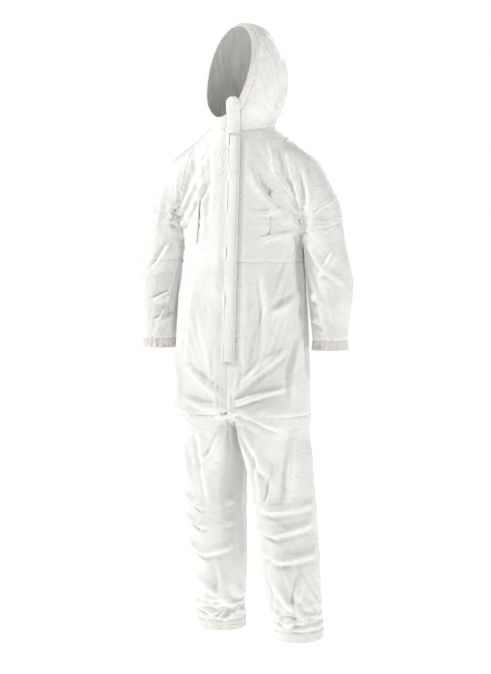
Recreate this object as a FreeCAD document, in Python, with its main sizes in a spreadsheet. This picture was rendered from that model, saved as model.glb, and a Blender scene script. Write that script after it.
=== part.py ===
import FreeCAD, Part
import os
import Sketcher

# Hooded protective coverall, worn closed. Millimetres, +Z up, the wearer faces -Y and the wearer's left is
# +X. The origin is the middle of the neck, where the suit hangs on its wearer.

os.makedirs("parts", exist_ok=True)
doc = FreeCAD.newDocument("coverall")
sheet = doc.addObject("Spreadsheet::Sheet", "Sizes")

sizes = {
    # cloth
    "wall": 1.5,
    "seam_gap": 0.5,
    # neck
    "neck_radius": 94,
    "neck_tilt": 14,
    "neck_height": 10,
    "neck_tape_width": 12,
    "neck_tape_thickness": 0.8,
    # torso: height of each level, half its width and half its depth
    "shoulder_z": -35,
    "shoulder_half_width": 148,
    "shoulder_half_depth": 100,
    "yoke_z": -75,
    "yoke_half_width": 166,
    "yoke_half_depth": 112,
    "armpit_z": -225,
    "armpit_half_width": 171,
    "armpit_half_depth": 119,
    "chest_z": -310,
    "chest_half_width": 177,
    "chest_half_depth": 123,
    "seam_z": -387,
    "seam_half_width": 182,
    "seam_half_depth": 128,
    "waist_z": -520,
    "waist_half_width": 194,
    "waist_half_depth": 138,
    "hip_z": -680,
    "hip_half_width": 206,
    "hip_half_depth": 149,
    "rim_z": -810,
    "rim_half_width": 210,
    "rim_half_depth": 152,
    "front_lean": 4.9,
    "side_seam_y": 10,
    "waist_elastic_z": -470,
    "elastic_width": 8,
    "elastic_thickness": 1,
    "gusset_half_width": 5,
    "gusset_drop": 30,
    "label_width": 45,
    "label_height": 60,
    "label_thickness": 0.4,
    # hood, in its own directions before it is turned to the side
    "hood_turn": -30,
    "chin_z": 60,
    "chin_half_width": 105,
    "chin_half_depth": 112,
    "cheek_z": 140,
    "cheek_half_width": 110,
    "cheek_half_depth": 122,
    "brow_z": 215,
    "brow_half_width": 101,
    "brow_half_depth": 108,
    "crown_z": 272,
    "crown_half_width": 72,
    "crown_half_depth": 74,
    "hood_top_z": 303,
    "hood_top_half_width": 34,
    "hood_top_half_depth": 40,
    "hood_back_shift": -2,
    "face_y": -98,
    "face_z": 35,
    "face_slant": 9.6,
    "face_hem_width": 14,
    # sleeves
    "armhole_z": -114,
    "armhole_y": 14,
    "armhole_radius": 85,
    "armhole_clearance": 1.5,
    "collar_start_x": 106,
    "sleeve_side_clearance": 3,
    "shoulder_turn": 112,
    "shoulder_ring": 78,
    "shoulder_drop": 14,
    "upper_arm_turn": 142,
    "upper_arm_ring": 66,
    "upper_arm_drop": 64,
    "sleeve_top_z": -290,
    "sleeve_top_half_width": 66,
    "sleeve_extra_depth": 4,
    "elbow_z": -440,
    "elbow_half_width": 69,
    "elbow_bend": 70,
    "forearm_slack": 8,
    "wrist_z": -598,
    "wrist_half_width": 50,
    "wrist_y": 5,
    "cuff_z": -640,
    "cuff_half_width": 54,
    "cuff_hem_height": 30,
    # legs
    "hip_swing": 25,
    "leg_gap": 4,
    "hip_slack": 15,
    "thigh_top": 45,
    "thigh_straight": 60,
    "thigh_roundness": 0.77,
    "knee_z": -1140,
    "knee_half_width": 92,
    "knee_extra_depth": 6,
    "knee_bend": 65,
    "shin_slack": 9,
    "left_knee_x": 140,
    "left_knee_y": 0,
    "right_knee_x": -95,
    "right_knee_y": 22,
    "left_hem_x": 175,
    "left_hem_y": -10,
    "right_hem_x": -85,
    "right_hem_y": 60,
    "hem_z": -1480,
    "hem_half_width": 72,
    "hem_extra_depth": 8,
    "leg_hem_height": 32,
    # how nested limb tubes cover each other
    "limb_cover": 12,
    "limb_clearance": 8,
    "limb_lip": 5,
    "elbow_straight": 82,
    "knee_straight": 104,
    # zip and storm flap, in directions along the leaning front
    "zip_length": 648,
    "zip_start": 15,
    "flap_start": 6,
    "zip_slot": 6,
    "zip_slot_end": 1,
    "coil_inner": 0.9,
    "coil_outer": 3.2,
    "coil_front": 0.6,
    "coil_thickness": 2.6,
    "tape_width": 15,
    "tape_thickness": 1,
    "slider_length": 12,
    "slider_half_width": 5,
    "slider_plate": 1.6,
    "slider_clearance": 0.5,
    "slider_web": 0.45,
    "slider_start": 24,
    "lug_reach": 2.6,
    "lug_half_width": 1.2,
    "pull_half_width": 4,
    "pull_length": 22,
    "pull_thickness": 1.2,
    "pull_above_pivot": 4,
    "pull_gap": 0.8,
    "pull_hole_gap": 0.6,
    "stop_length": 5,
    "flap_left": 24,
    "flap_right": -20,
    "flap_rise": 7,
    "flap_lift": 1.2,
    "flap_thickness": 1.6,
    "flap_overhang": 7,
    "flap_top_height": 84,
    "flap_top_gap": 1,
    "adhesive_width": 10,
    "adhesive_thickness": 0.4,
}
for row, (name, value) in enumerate(sizes.items(), start=1):
    sheet.set(f"A{row}", name)
    sheet.set(f"B{row}", str(value))
    sheet.setAlias(f"B{row}", name)
doc.recompute()

probe = doc.addObject("Spreadsheet::Sheet", "Probe")
pieces = []
BIG = 4000
SIDES = (("left", 1), ("right", -1))


class Named(dict):
    """Turns {name} in an expression into the sheet's cell of that name."""

    def __missing__(self, name):
        return f"Sizes.{name}"


def cell(text, **more):
    return text.format_map(Named(more))


def number(obj, **values):
    for name, text in values.items():
        obj.setExpression(name, cell(text))


def place(obj, x, y, z, yaw="0", pitch="0", roll="0"):
    """Binds a placement: first rolled about X, then pitched about Y, then turned about Z."""
    vector = f"create(<<vector>>; {x}; {y}; {z})"
    rotation = f"create(<<rotation>>; {yaw}; {pitch}; {roll})"
    obj.setExpression("Placement", cell(f"create(<<placement>>; {vector}; {rotation})"))


def ring(name, x, y, z, half_long, half_short, yaw="0", pitch="0", roll="0", grow="0"):
    """One oval cross-section: half_long lies along X, or along Y when yaw is 90."""
    oval = doc.addObject("Part::Ellipse", name)
    number(oval, MajorRadius=f"{half_long} + {grow}", MinorRadius=f"{half_short} + {grow}")
    place(oval, x, y, z, yaw, pitch, roll)
    return oval


def loft(name, rings):
    body = doc.addObject("Part::Loft", name)
    body.Sections = rings
    body.Solid = True
    body.Ruled = True
    return body


def cut(name, base, tool):
    result = doc.addObject("Part::Cut", name)
    result.Base = base
    result.Tool = tool
    return result


def common(name, base, tool):
    result = doc.addObject("Part::Common", name)
    result.Base = base
    result.Tool = tool
    return result


def fuse(name, base, tool):
    result = doc.addObject("Part::Fuse", name)
    result.Base = base
    result.Tool = tool
    return result


def cloth(name, outer, inner, region):
    """The part of a tube's wall, or of a band inside it, that lies in a region."""
    return cut(name, common(f"{name}_outer", outer, region), common(f"{name}_inner", inner, region))


def block(name, low, high):
    """A box from one corner to the other, each corner three expressions."""
    box = doc.addObject("Part::Box", name)
    number(
        box,
        Length=f"({high[0]}) - ({low[0]})",
        Width=f"({high[1]}) - ({low[1]})",
        Height=f"({high[2]}) - ({low[2]})",
    )
    place(box, low[0], low[1], low[2])
    return box


def tilted_half(name, x, y, z, slant, above):
    """The half space above or below a plane that is tipped about X at a point."""
    box = doc.addObject("Part::Box", name)
    box.Length = BIG
    box.Width = BIG
    box.Height = BIG
    half = BIG / 2
    if above:
        down = "0"
    else:
        down = str(BIG)
    place(
        box,
        f"({x}) - {half}",
        f"({y}) - {half} * cos({slant}) + {down} * sin({slant})",
        f"({z}) - {half} * sin({slant}) - {down} * cos({slant})",
        roll=slant,
    )
    return box


def piece(label, obj):
    obj.Label = label
    pieces.append(obj)
    return obj


# Neck plane ------------------------------------------------------------------------------------------------


def neck_ring(name, shift="0", grow="0", yaw="0"):
    """The round neck seam, tipped forward; shift moves it along its own axis."""
    y = f"-({shift}) * sin({{neck_tilt}})"
    z = f"{{neck_height}} + ({shift}) * cos({{neck_tilt}})"
    if yaw == "90":
        tipped = dict(pitch="-{neck_tilt}")
    else:
        tipped = dict(roll="{neck_tilt}")
    return ring(name, "0", y, z, "{neck_radius}", "{neck_radius}", yaw=yaw, grow=grow, **tipped)


# The front centre line is straight and leans forward towards the hem: the zip runs along it.
FRONT_Y = "(-{neck_radius} * cos({neck_tilt}))"
FRONT_Z = "({neck_height} - {neck_radius} * sin({neck_tilt}))"


def front_at(z):
    return f"({FRONT_Y} + (({z}) - {FRONT_Z}) * tan({{front_lean}}))"


# Torso -----------------------------------------------------------------------------------------------------

LEVELS = ("shoulder", "yoke", "armpit", "chest", "seam", "waist", "hip", "rim")


def torso_solid(name, grow):
    rings = [neck_ring(f"{name}_neck", grow=grow)]
    for level in LEVELS:
        z = f"{{{level}_z}}"
        depth = f"{{{level}_half_depth}}"
        width = f"{{{level}_half_width}}"
        middle = f"{front_at(z)} + {depth}"
        rings.append(ring(f"{name}_{level}", "0", middle, z, width, depth, grow=grow))
    return loft(name, rings)


torso_outside = torso_solid("torso_outside", "0")
torso_inside = torso_solid("torso_inside", "-{wall}")
torso_lining = torso_solid("torso_lining", "-{wall} - {elastic_thickness}")

armholes = doc.addObject("Part::Cylinder", "armholes")
number(armholes, Radius="{armhole_radius} + {armhole_clearance}")
armholes.Height = BIG
place(armholes, str(-BIG / 2), "{armhole_y}", "{armhole_z}", pitch="90")

ABOVE = str(BIG)
BELOW = str(-BIG)
slot_length = "({zip_length} + {stop_length} + {zip_slot_end})"
zip_slot = block(
    "zip_slot_space",
    ("-{zip_slot}", BELOW, f"{FRONT_Z} - {slot_length} * cos({{front_lean}})"),
    ("{zip_slot}", "0", ABOVE),
)


def torso_panel(label, side, front, upper):
    """One panel of the torso, between its seams."""
    x = {0: (BELOW, ABOVE), 1: ("0", ABOVE), -1: (BELOW, "0")}[side]
    y = (BELOW, "{side_seam_y}") if front else ("{side_seam_y}", ABOVE)
    z = ("{seam_z}", ABOVE) if upper else (BELOW, "{seam_z}")
    region = block(f"{label}_region", (x[0], y[0], z[0]), (x[1], y[1], z[1]))
    if upper:
        region = cut(f"{label}_armhole", region, armholes)
    panel = cloth(f"{label}_cloth", torso_outside, torso_inside, region)
    if front:
        panel = cut(f"{label}_cut", panel, zip_slot)
    return piece(label, panel)


torso_panel("upper_back", 0, False, True)
for side_name, side in SIDES:
    torso_panel(f"upper_front_{side_name}", side, True, True)
    torso_panel(f"lower_front_{side_name}", side, True, False)
    torso_panel(f"lower_back_{side_name}", side, False, False)

# Crotch gusset: a narrow sagging strip from the front rim to the back rim, between the legs.
RIM_MIDDLE = f"({front_at('{rim_z}')} + {{rim_half_depth}})"
SAG_RADIUS = "(({rim_half_depth} ^ 2 + {gusset_drop} ^ 2) / (2 * {gusset_drop}))"


def gusset_drum(name, grow):
    drum = doc.addObject("Part::Cylinder", name)
    number(drum, Radius=f"{SAG_RADIUS} + {grow}", Height="2 * {gusset_half_width}")
    place(drum, "-{gusset_half_width}", RIM_MIDDLE, f"{{rim_z}} - {{gusset_drop}} + {SAG_RADIUS}", pitch="90")
    return drum


gusset_band = cut("gusset_band", gusset_drum("gusset_outer", "0"), gusset_drum("gusset_inner", "-{wall}"))
below_rim = block("below_rim", (BELOW, BELOW, BELOW), (ABOVE, ABOVE, "{rim_z}"))
piece("crotch_gusset", common("gusset_strip", gusset_band, below_rim))

waist_region = block(
    "waist_region",
    (BELOW, "{side_seam_y}", "{waist_elastic_z} - {elastic_width}"),
    (ABOVE, ABOVE, "{waist_elastic_z} + {elastic_width}"),
)
piece("back_waist_elastic", cloth("waist_band", torso_inside, torso_lining, waist_region))


def neck_drum(name, grow):
    drum = doc.addObject("Part::Cylinder", name)
    number(drum, Radius=f"{{neck_radius}} - {{wall}} - {{seam_gap}} + {grow}", Height="{neck_tape_width}")
    drop = "({neck_tape_width} + {seam_gap})"
    place(
        drum,
        "0",
        f"{drop} * sin({{neck_tilt}})",
        f"{{neck_height}} - {drop} * cos({{neck_tilt}})",
        roll="{neck_tilt}",
    )
    return drum


neck_band = cut("neck_band", neck_drum("neck_outer", "0"), neck_drum("neck_inner", "-{neck_tape_thickness}"))
piece("neck_seam_tape", neck_band)

label_y = "({neck_radius} - {wall} - 4 * {neck_tape_thickness}) * cos({neck_tilt})"
label_plate = doc.addObject("Part::Box", "label_plate")
number(label_plate, Length="{label_width}", Width="{label_thickness}", Height="{label_height}")
place(label_plate, "-{label_width} / 2", f"{label_y} - {{label_thickness}}", "-{label_height}")
piece("neck_label", label_plate)


# Hood ------------------------------------------------------------------------------------------------------

HOOD_LEVELS = ("chin", "cheek", "brow", "crown", "hood_top")


def hood_solid(name, grow):
    """The hood facing straight forward, as one solid from the neck seam to its top."""
    rings = [neck_ring(f"{name}_neck", shift="{seam_gap}", grow=grow, yaw="90")]
    for level in HOOD_LEVELS:
        z = f"{{{level}_z}}"
        if level == "hood_top":
            z += f" + ({grow})"
        depth = f"{{{level}_half_depth}}"
        width = f"{{{level}_half_width}}"
        rings.append(ring(f"{name}_{level}", "0", "{hood_back_shift}", z, depth, width, yaw="90", grow=grow))
    return loft(name, rings)


def turned_with_head(label, obj):
    """One of the hood's pieces, turned to the side about the tipped neck axis."""
    flat = "create(<<rotation>>; 0; 0; 0)"
    tip = "create(<<rotation>>; 0; 0; {neck_tilt})"
    turn = "create(<<rotation>>; {hood_turn}; 0; 0)"
    untip = "create(<<rotation>>; 0; 0; -{neck_tilt})"
    up = f"create(<<placement>>; create(<<vector>>; 0; 0; {{neck_height}}); {flat})"
    spin = f"create(<<placement>>; create(<<vector>>; 0; 0; 0); {tip} * {turn} * {untip})"
    down = f"create(<<placement>>; create(<<vector>>; 0; 0; -{{neck_height}}); {flat})"
    obj.setExpression("Placement", cell(f"{up} * {spin} * {down}"))
    return piece(label, obj)


def behind_face(name, depth):
    """Everything behind the plane of the face opening, moved back by a depth."""
    y = f"{{face_y}} + ({depth}) * cos({{face_slant}})"
    z = f"{{face_z}} - ({depth}) * sin({{face_slant}})"
    return tilted_half(name, "0", y, z, "(-90 - {face_slant})", True)


hood_outside = hood_solid("hood_outside", "0")
hood_inside = hood_solid("hood_inside", "-{wall}")
hood_lining = hood_solid("hood_lining", "-{wall} - {elastic_thickness}")
behind_hem = behind_face("behind_hem", "{face_hem_width}")
for side_name, side in SIDES:
    x = ("0", ABOVE) if side > 0 else (BELOW, "0")
    half = block(f"hood_{side_name}_half", (x[0], BELOW, BELOW), (x[1], ABOVE, ABOVE))
    region = common(f"hood_{side_name}_region", half, behind_hem)
    turned_with_head(f"hood_{side_name}_panel", cloth(f"hood_{side_name}", hood_outside, hood_inside, region))


def face_slab(name, near, far):
    """The slab between two planes parallel to the face opening."""
    return cut(f"{name}_slab", behind_face(f"{name}_near", near), behind_face(f"{name}_far", far))


hem_slab = face_slab("face_hem", "0", "{face_hem_width}")
turned_with_head("hood_face_hem", cloth("face_hem_band", hood_outside, hood_inside, hem_slab))
elastic_slab = face_slab("face_elastic", "{face_hem_width} - {elastic_width}", "{face_hem_width}")
turned_with_head("hood_face_elastic", cloth("face_elastic_band", hood_inside, hood_lining, elastic_slab))

# The top end of the storm flap lies on the hood, straight above the rest of the flap.
flap_top_outer = hood_solid("flap_top_outer", "{flap_top_gap} + {flap_thickness}")
flap_top_inner = hood_solid("flap_top_inner", "{flap_top_gap}")
flap_top_region = doc.addObject("Part::Box", "flap_top_region")
number(flap_top_region, Length="{flap_left} - {flap_right}")
flap_top_region.Width = BIG
number(flap_top_region, Height="{flap_top_height} + {neck_radius}")
place(
    flap_top_region,
    f"{{flap_right}} * cos({{hood_turn}}) - {BIG} * sin({{hood_turn}})",
    f"-{{flap_right}} * sin({{hood_turn}}) - {BIG} * cos({{hood_turn}})",
    "-{neck_radius}",
    yaw="-{hood_turn}",
)
flap_top_low = tilted_half(
    "flap_top_low",
    "0",
    "-3 * {seam_gap} * sin({neck_tilt})",
    "{neck_height} + 3 * {seam_gap} * cos({neck_tilt})",
    "{neck_tilt}",
    True,
)
flap_top_place = common("flap_top_place", flap_top_region, flap_top_low)
turned_with_head("storm_flap_top", cloth("flap_top_band", flap_top_outer, flap_top_inner, flap_top_place))


# Limbs -----------------------------------------------------------------------------------------------------


class Bend:
    """Two nested tubes that fold about X: the outer rim is raised on the side the limb folds to."""

    def __init__(self, joint, direction, outer_depth, inner_depth):
        bend = f"{{{joint}_bend}}"
        self.high = f"(({inner_depth} - {outer_depth} * cos({bend})) / sin({bend}) + {{limb_clearance}})"
        self.low = f"({{limb_lip}} * cos({bend}) - {inner_depth} * sin({bend}) - {{limb_cover}})"
        self.outer_middle = f"(({self.high} + {self.low}) / 2)"
        self.outer_slant = f"atan({direction} * ({self.high} - {self.low}) / (2 * {outer_depth}))"
        self.inner_high = f"({self.high} + {{limb_cover}})"
        self.inner_middle = f"(({self.inner_high} + {{limb_lip}}) / 2)"
        self.inner_slant = f"atan({direction} * ({self.inner_high} - {{limb_lip}}) / (2 * {inner_depth}))"

    def above_rim(self, name, x, y, z):
        """The space that the outer tube keeps."""
        return tilted_half(f"{name}_rim", x, y, f"{z} + {self.outer_middle}", self.outer_slant, True)

    def below_rim(self, name, x, y, z):
        """The space that the inner tube keeps."""
        return tilted_half(f"{name}_rim", x, y, f"{z} + {self.inner_middle}", self.inner_slant, False)


def limb_end(prefix, tube, below_rim, end_z, hem_height, names):
    """A limb's last stretch: its cloth, the hem at its open end and the elastic inside that."""
    outer, inner, lining = tube
    hem_top = f"({end_z} + {hem_height})"
    above_hem = block(f"{prefix}_above_hem", (BELOW, BELOW, hem_top), (ABOVE, ABOVE, ABOVE))
    stretch = common(f"{prefix}_stretch", above_hem, below_rim)
    piece(names[0], cloth(f"{prefix}_cloth", outer, inner, stretch))
    hem = block(f"{prefix}_hem_region", (BELOW, BELOW, BELOW), (ABOVE, ABOVE, hem_top))
    piece(names[1], cloth(f"{prefix}_hem", outer, inner, hem))
    band = block(
        f"{prefix}_elastic_region",
        (BELOW, BELOW, f"{hem_top} - 2 * {{elastic_width}}"),
        (ABOVE, ABOVE, f"{hem_top} - {{elastic_width}}"),
    )
    piece(names[2], cloth(f"{prefix}_elastic", inner, lining, band))


ELBOW_X = "({waist_half_width} + {sleeve_side_clearance} + {elbow_half_width})"
WRIST_X = "({hip_half_width} + 2 * {sleeve_side_clearance} + {cuff_half_width})"
FOREARM = "({elbow_half_width} - {wall} - {forearm_slack})"
SLEEVE_INNER_X = "({armpit_half_width} + {sleeve_side_clearance})"
FOREARM_DEPTH = f"({FOREARM} + {{sleeve_extra_depth}})"
elbow = Bend("elbow", -1, "({elbow_half_width} + {sleeve_extra_depth})", FOREARM_DEPTH)


def sleeve_tube(name, side, grow):
    """Collar through the armhole, shoulder and upper arm, as one solid."""

    def arm_ring(part, x, z, half, turn, y="{armhole_y}", extra="{sleeve_extra_depth}"):
        pitch_roll = f"({side}) * ({turn})"
        return ring(
            f"{name}_{part}", f"{side} * ({x})", y, z, f"{half} + {extra}", half,
            yaw="90", roll=pitch_roll, grow=grow,
        )

    start_x = "({armpit_half_width} + 1)"
    shoulder_x = f"{SLEEVE_INNER_X} - {{shoulder_ring}} * cos({{shoulder_turn}})"
    upper_x = f"{SLEEVE_INNER_X} - {{upper_arm_ring}} * cos({{upper_arm_turn}})"
    top_x = "{chest_half_width} + 2 * {sleeve_side_clearance} + {sleeve_top_half_width}"
    shoulder = (shoulder_x, "{armhole_z} - {shoulder_drop}", "{shoulder_ring}", "{shoulder_turn}")
    upper = (upper_x, "{armhole_z} - {upper_arm_drop}", "{upper_arm_ring}", "{upper_arm_turn}")
    collar = [
        arm_ring("collar_ring", "{collar_start_x}", "{armhole_z}", "{armhole_radius}", "90", extra="0"),
        arm_ring("armhole_ring", start_x, "{armhole_z}", "{armhole_radius}", "90", extra="0"),
        arm_ring("shoulder_ring", *shoulder),
    ]
    turn = [arm_ring("turn_top", *shoulder), arm_ring("turn_low", *upper)]
    arm = [
        arm_ring("arm_top", *upper),
        arm_ring("top", top_x, "{sleeve_top_z}", "{sleeve_top_half_width}", "180"),
        arm_ring("above_elbow", ELBOW_X, "{elbow_z} + {elbow_straight}", "{elbow_half_width}", "180"),
        arm_ring("below_elbow", ELBOW_X, "{elbow_z} - {elbow_straight}", "{elbow_half_width}", "180"),
    ]
    top = fuse(f"{name}_top", loft(f"{name}_collar", collar), loft(f"{name}_turn", turn))
    return fuse(name, top, loft(f"{name}_arm", arm))


def forearm_solid(name, side, grow):
    def arm_ring(part, x, y, z, half):
        return ring(
            f"{name}_{part}", f"{side} * {x}", y, z, f"{half} + {{sleeve_extra_depth}}", half,
            yaw="90", grow=grow,
        )

    rings = [
        arm_ring("above_elbow", ELBOW_X, "{armhole_y}", "{elbow_z} + {elbow_straight}", FOREARM),
        arm_ring("below_elbow", ELBOW_X, "{armhole_y}", "{elbow_z} - {elbow_straight}", FOREARM),
        arm_ring("wrist", WRIST_X, "{wrist_y}", "{wrist_z}", "{wrist_half_width}"),
        arm_ring("cuff", WRIST_X, "{wrist_y}", "{cuff_z}", "{cuff_half_width}"),
    ]
    return loft(name, rings)


for side_name, side in SIDES:
    elbow_x = f"{side} * {ELBOW_X}"
    sleeve_name = f"{side_name}_upper_sleeve"
    outside = sleeve_tube(f"{sleeve_name}_outside", side, "0")
    inside = sleeve_tube(f"{sleeve_name}_inside", side, "-{wall}")
    above_rim = elbow.above_rim(sleeve_name, elbow_x, "{armhole_y}", "{elbow_z}")
    piece(sleeve_name, cloth(f"{sleeve_name}_cloth", outside, inside, above_rim))
    forearm_name = f"{side_name}_forearm"
    forearm_tube = (
        forearm_solid(forearm_name, side, "0"),
        forearm_solid(f"{forearm_name}_inside", side, "-{wall}"),
        forearm_solid(f"{forearm_name}_lining", side, "-{wall} - {elastic_thickness}"),
    )
    limb_end(
        forearm_name,
        forearm_tube,
        elbow.below_rim(forearm_name, elbow_x, "{armhole_y}", "{elbow_z}"),
        "{cuff_z}",
        "{cuff_hem_height}",
        (f"{side_name}_lower_sleeve", f"{side_name}_cuff_hem", f"{side_name}_wrist_elastic"),
    )


def leg_solid(name, levels, grow):
    """A stretch of trouser leg through oval levels, drawn in or out by grow."""
    rings = []
    for part, x, y, z, depth, width in levels:
        rings.append(ring(f"{name}_{part}", x, y, z, depth, width, yaw="90", grow=grow))
    return loft(name, rings)


THIGH_WIDTH = "(({rim_half_width} - {wall} - {leg_gap} - {gusset_half_width} - {hip_slack}) / 2)"
THIGH_FIT = "(({rim_half_depth} - {wall}) * cos({hip_swing}) * {thigh_roundness})"
THIGH_DEPTH = f"max({THIGH_FIT}; {THIGH_WIDTH} + {{wall}})"
THIGH_X = f"({{leg_gap}} + {{gusset_half_width}} + {THIGH_WIDTH})"
SHIN = "({knee_half_width} - {wall} - {shin_slack})"
knee = Bend("knee", 1, "({knee_half_width} + {knee_extra_depth})", f"({SHIN} + {{knee_extra_depth}})")

for side_name, side in SIDES:
    knee_x = f"{{{side_name}_knee_x}}"
    knee_y = f"{{{side_name}_knee_y}}"
    hem_x = f"{{{side_name}_hem_x}}"
    hem_y = f"{{{side_name}_hem_y}}"
    knee_depth = "{knee_half_width} + {knee_extra_depth}"
    shin_depth = f"{SHIN} + {{knee_extra_depth}}"
    hem_depth = "{hem_half_width} + {hem_extra_depth}"
    hip_x = f"{side} * {THIGH_X}"

    thigh_levels = (
        ("top", hip_x, RIM_MIDDLE, "{rim_z} + {thigh_top}", THIGH_DEPTH, THIGH_WIDTH),
        ("hip", hip_x, RIM_MIDDLE, "{rim_z} - {thigh_straight}", THIGH_DEPTH, THIGH_WIDTH),
        ("above_knee", knee_x, knee_y, "{knee_z} + {knee_straight}", knee_depth, "{knee_half_width}"),
        ("below_knee", knee_x, knee_y, "{knee_z} - {knee_straight}", knee_depth, "{knee_half_width}"),
    )
    shin_levels = (
        ("above_knee", knee_x, knee_y, "{knee_z} + {knee_straight}", shin_depth, SHIN),
        ("below_knee", knee_x, knee_y, "{knee_z} - {knee_straight}", shin_depth, SHIN),
        ("hem", hem_x, hem_y, "{hem_z}", hem_depth, "{hem_half_width}"),
    )
    thigh_name = f"{side_name}_thigh"
    thigh_cloth = cloth(
        f"{thigh_name}_cloth",
        leg_solid(f"{thigh_name}_outside", thigh_levels, "0"),
        leg_solid(f"{thigh_name}_inside", thigh_levels, "-{wall}"),
        knee.above_rim(thigh_name, knee_x, knee_y, "{knee_z}"),
    )
    piece(f"{side_name}_upper_leg", thigh_cloth)
    shin_name = f"{side_name}_shin"
    shin_tube = (
        leg_solid(shin_name, shin_levels, "0"),
        leg_solid(f"{shin_name}_inside", shin_levels, "-{wall}"),
        leg_solid(f"{shin_name}_lining", shin_levels, "-{wall} - {elastic_thickness}"),
    )
    limb_end(
        shin_name,
        shin_tube,
        knee.below_rim(shin_name, knee_x, knee_y, "{knee_z}"),
        "{hem_z}",
        "{leg_hem_height}",
        (f"{side_name}_lower_leg", f"{side_name}_leg_hem", f"{side_name}_ankle_elastic"),
    )


# Zip and storm flap: bodies drawn across the front and padded along its leaning line -----------------------


def front_body(label):
    """A body whose Z runs up the leaning front from the neck seam, with -Y outwards."""
    body = doc.addObject("PartDesign::Body", f"{label}_body")
    place(body, "0", FRONT_Y, FRONT_Z, roll="-{front_lean}")
    return piece(label, body)


def cross_sketch(body, name, height):
    """A sketch across the zip's line at a height along it."""
    plane = next(p for p in body.Origin.OriginFeatures if p.Role == "XY_Plane")
    sketch = body.newObject("Sketcher::SketchObject", name)
    sketch.AttachmentSupport = [(plane, "")]
    sketch.MapMode = "FlatFace"
    sketch.setExpression("AttachmentOffset.Base.z", cell(height))
    return sketch


def value(text):
    """The present value of an expression, to draw a sketch near its final shape."""
    probe.set("A1", f"={cell(text)}")
    doc.recompute()
    return float(probe.A1)


def fix(sketch, name, text, *where):
    """A named distance in a sketch, bound to the sheet."""
    sketch.addConstraint(Sketcher.Constraint(*where, value(text)))
    sketch.renameConstraint(sketch.ConstraintCount - 1, name)
    sketch.setExpression(f"Constraints.{name}", cell(text))


def pad(body, name, low, high, bottom, top):
    """A rectangular bar between two corners of the cross-section and two heights."""
    sketch = cross_sketch(body, f"{name}_outline", bottom)
    x0, y0, x1, y1 = (value(text) for text in (*low, *high))
    corners = [FreeCAD.Vector(x, y, 0) for x, y in ((x0, y0), (x1, y0), (x1, y1), (x0, y1))]
    for start in range(4):
        sketch.addGeometry(Part.LineSegment(corners[start], corners[(start + 1) % 4]), False)
    for start in range(4):
        sketch.addConstraint(Sketcher.Constraint("Coincident", start, 2, (start + 1) % 4, 1))
    sketch.addConstraint(Sketcher.Constraint("Horizontal", 0))
    sketch.addConstraint(Sketcher.Constraint("Horizontal", 2))
    sketch.addConstraint(Sketcher.Constraint("Vertical", 1))
    sketch.addConstraint(Sketcher.Constraint("Vertical", 3))
    fix(sketch, "low_x", low[0], "DistanceX", -1, 1, 0, 1)
    fix(sketch, "low_y", low[1], "DistanceY", -1, 1, 0, 1)
    fix(sketch, "high_x", high[0], "DistanceX", -1, 1, 2, 1)
    fix(sketch, "high_y", high[1], "DistanceY", -1, 1, 2, 1)
    feature = body.newObject("PartDesign::Pad", name)
    feature.Profile = sketch
    feature.setExpression("Length", cell(f"({top}) - ({bottom})"))
    doc.recompute()
    return feature


FLAP_SPAN = "(({flap_left} - {flap_right}) / 2)"
FLAP_RADIUS = f"(({FLAP_SPAN} ^ 2 + {{flap_rise}} ^ 2) / (2 * {{flap_rise}}))"
FLAP_MIDDLE_X = "(({flap_left} + {flap_right}) / 2)"
FLAP_MIDDLE_Y = f"({FLAP_RADIUS} - {{flap_rise}} - {{flap_lift}})"
FLAP_TOP = "(-{flap_start})"


def arched_strip(body, name, left, right, inner, outer, bottom, top):
    """A strip whose cross-section is an arch over the zip, between two radii and two edges."""
    sketch = cross_sketch(body, f"{name}_outline", bottom)
    x0, x1, middle_x, middle_y = (value(text) for text in (left, right, FLAP_MIDDLE_X, FLAP_MIDDLE_Y))
    ends = []
    for radius in (value(inner), value(outer)):
        points = []
        for x in (x0, x1):
            points.append(FreeCAD.Vector(x, middle_y - (radius**2 - (x - middle_x) ** 2) ** 0.5, 0))
        middle = FreeCAD.Vector(
            (x0 + x1) / 2, middle_y - (radius**2 - ((x0 + x1) / 2 - middle_x) ** 2) ** 0.5, 0
        )
        sketch.addGeometry(Part.Arc(points[0], middle, points[1]), False)
        ends.append(points)
    sketch.addGeometry(Part.LineSegment(ends[0][0], ends[1][0]), False)
    sketch.addGeometry(Part.LineSegment(ends[0][1], ends[1][1]), False)
    first, second = sketch.Geometry[0], sketch.Geometry[1]
    low_end = 1 if first.StartPoint.isEqual(ends[0][0], 1e-6) else 2
    high_end = 3 - low_end
    sketch.addConstraint(Sketcher.Constraint("Coincident", 0, low_end, 2, 1))
    sketch.addConstraint(Sketcher.Constraint("Coincident", 1, low_end, 2, 2))
    sketch.addConstraint(Sketcher.Constraint("Coincident", 0, high_end, 3, 1))
    sketch.addConstraint(Sketcher.Constraint("Coincident", 1, high_end, 3, 2))
    sketch.addConstraint(Sketcher.Constraint("Coincident", 0, 3, 1, 3))
    sketch.addConstraint(Sketcher.Constraint("Vertical", 2))
    sketch.addConstraint(Sketcher.Constraint("Vertical", 3))
    fix(sketch, "middle_x", FLAP_MIDDLE_X, "DistanceX", -1, 1, 0, 3)
    fix(sketch, "middle_y", FLAP_MIDDLE_Y, "DistanceY", -1, 1, 0, 3)
    fix(sketch, "inner_radius", inner, "Radius", 0)
    fix(sketch, "outer_radius", outer, "Radius", 1)
    fix(sketch, "left_edge", left, "DistanceX", -1, 1, 0, low_end)
    fix(sketch, "right_edge", right, "DistanceX", -1, 1, 0, high_end)
    feature = body.newObject("PartDesign::Pad", name)
    feature.Profile = sketch
    feature.setExpression("Length", cell(f"({top}) - ({bottom})"))
    doc.recompute()
    return feature


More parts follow.
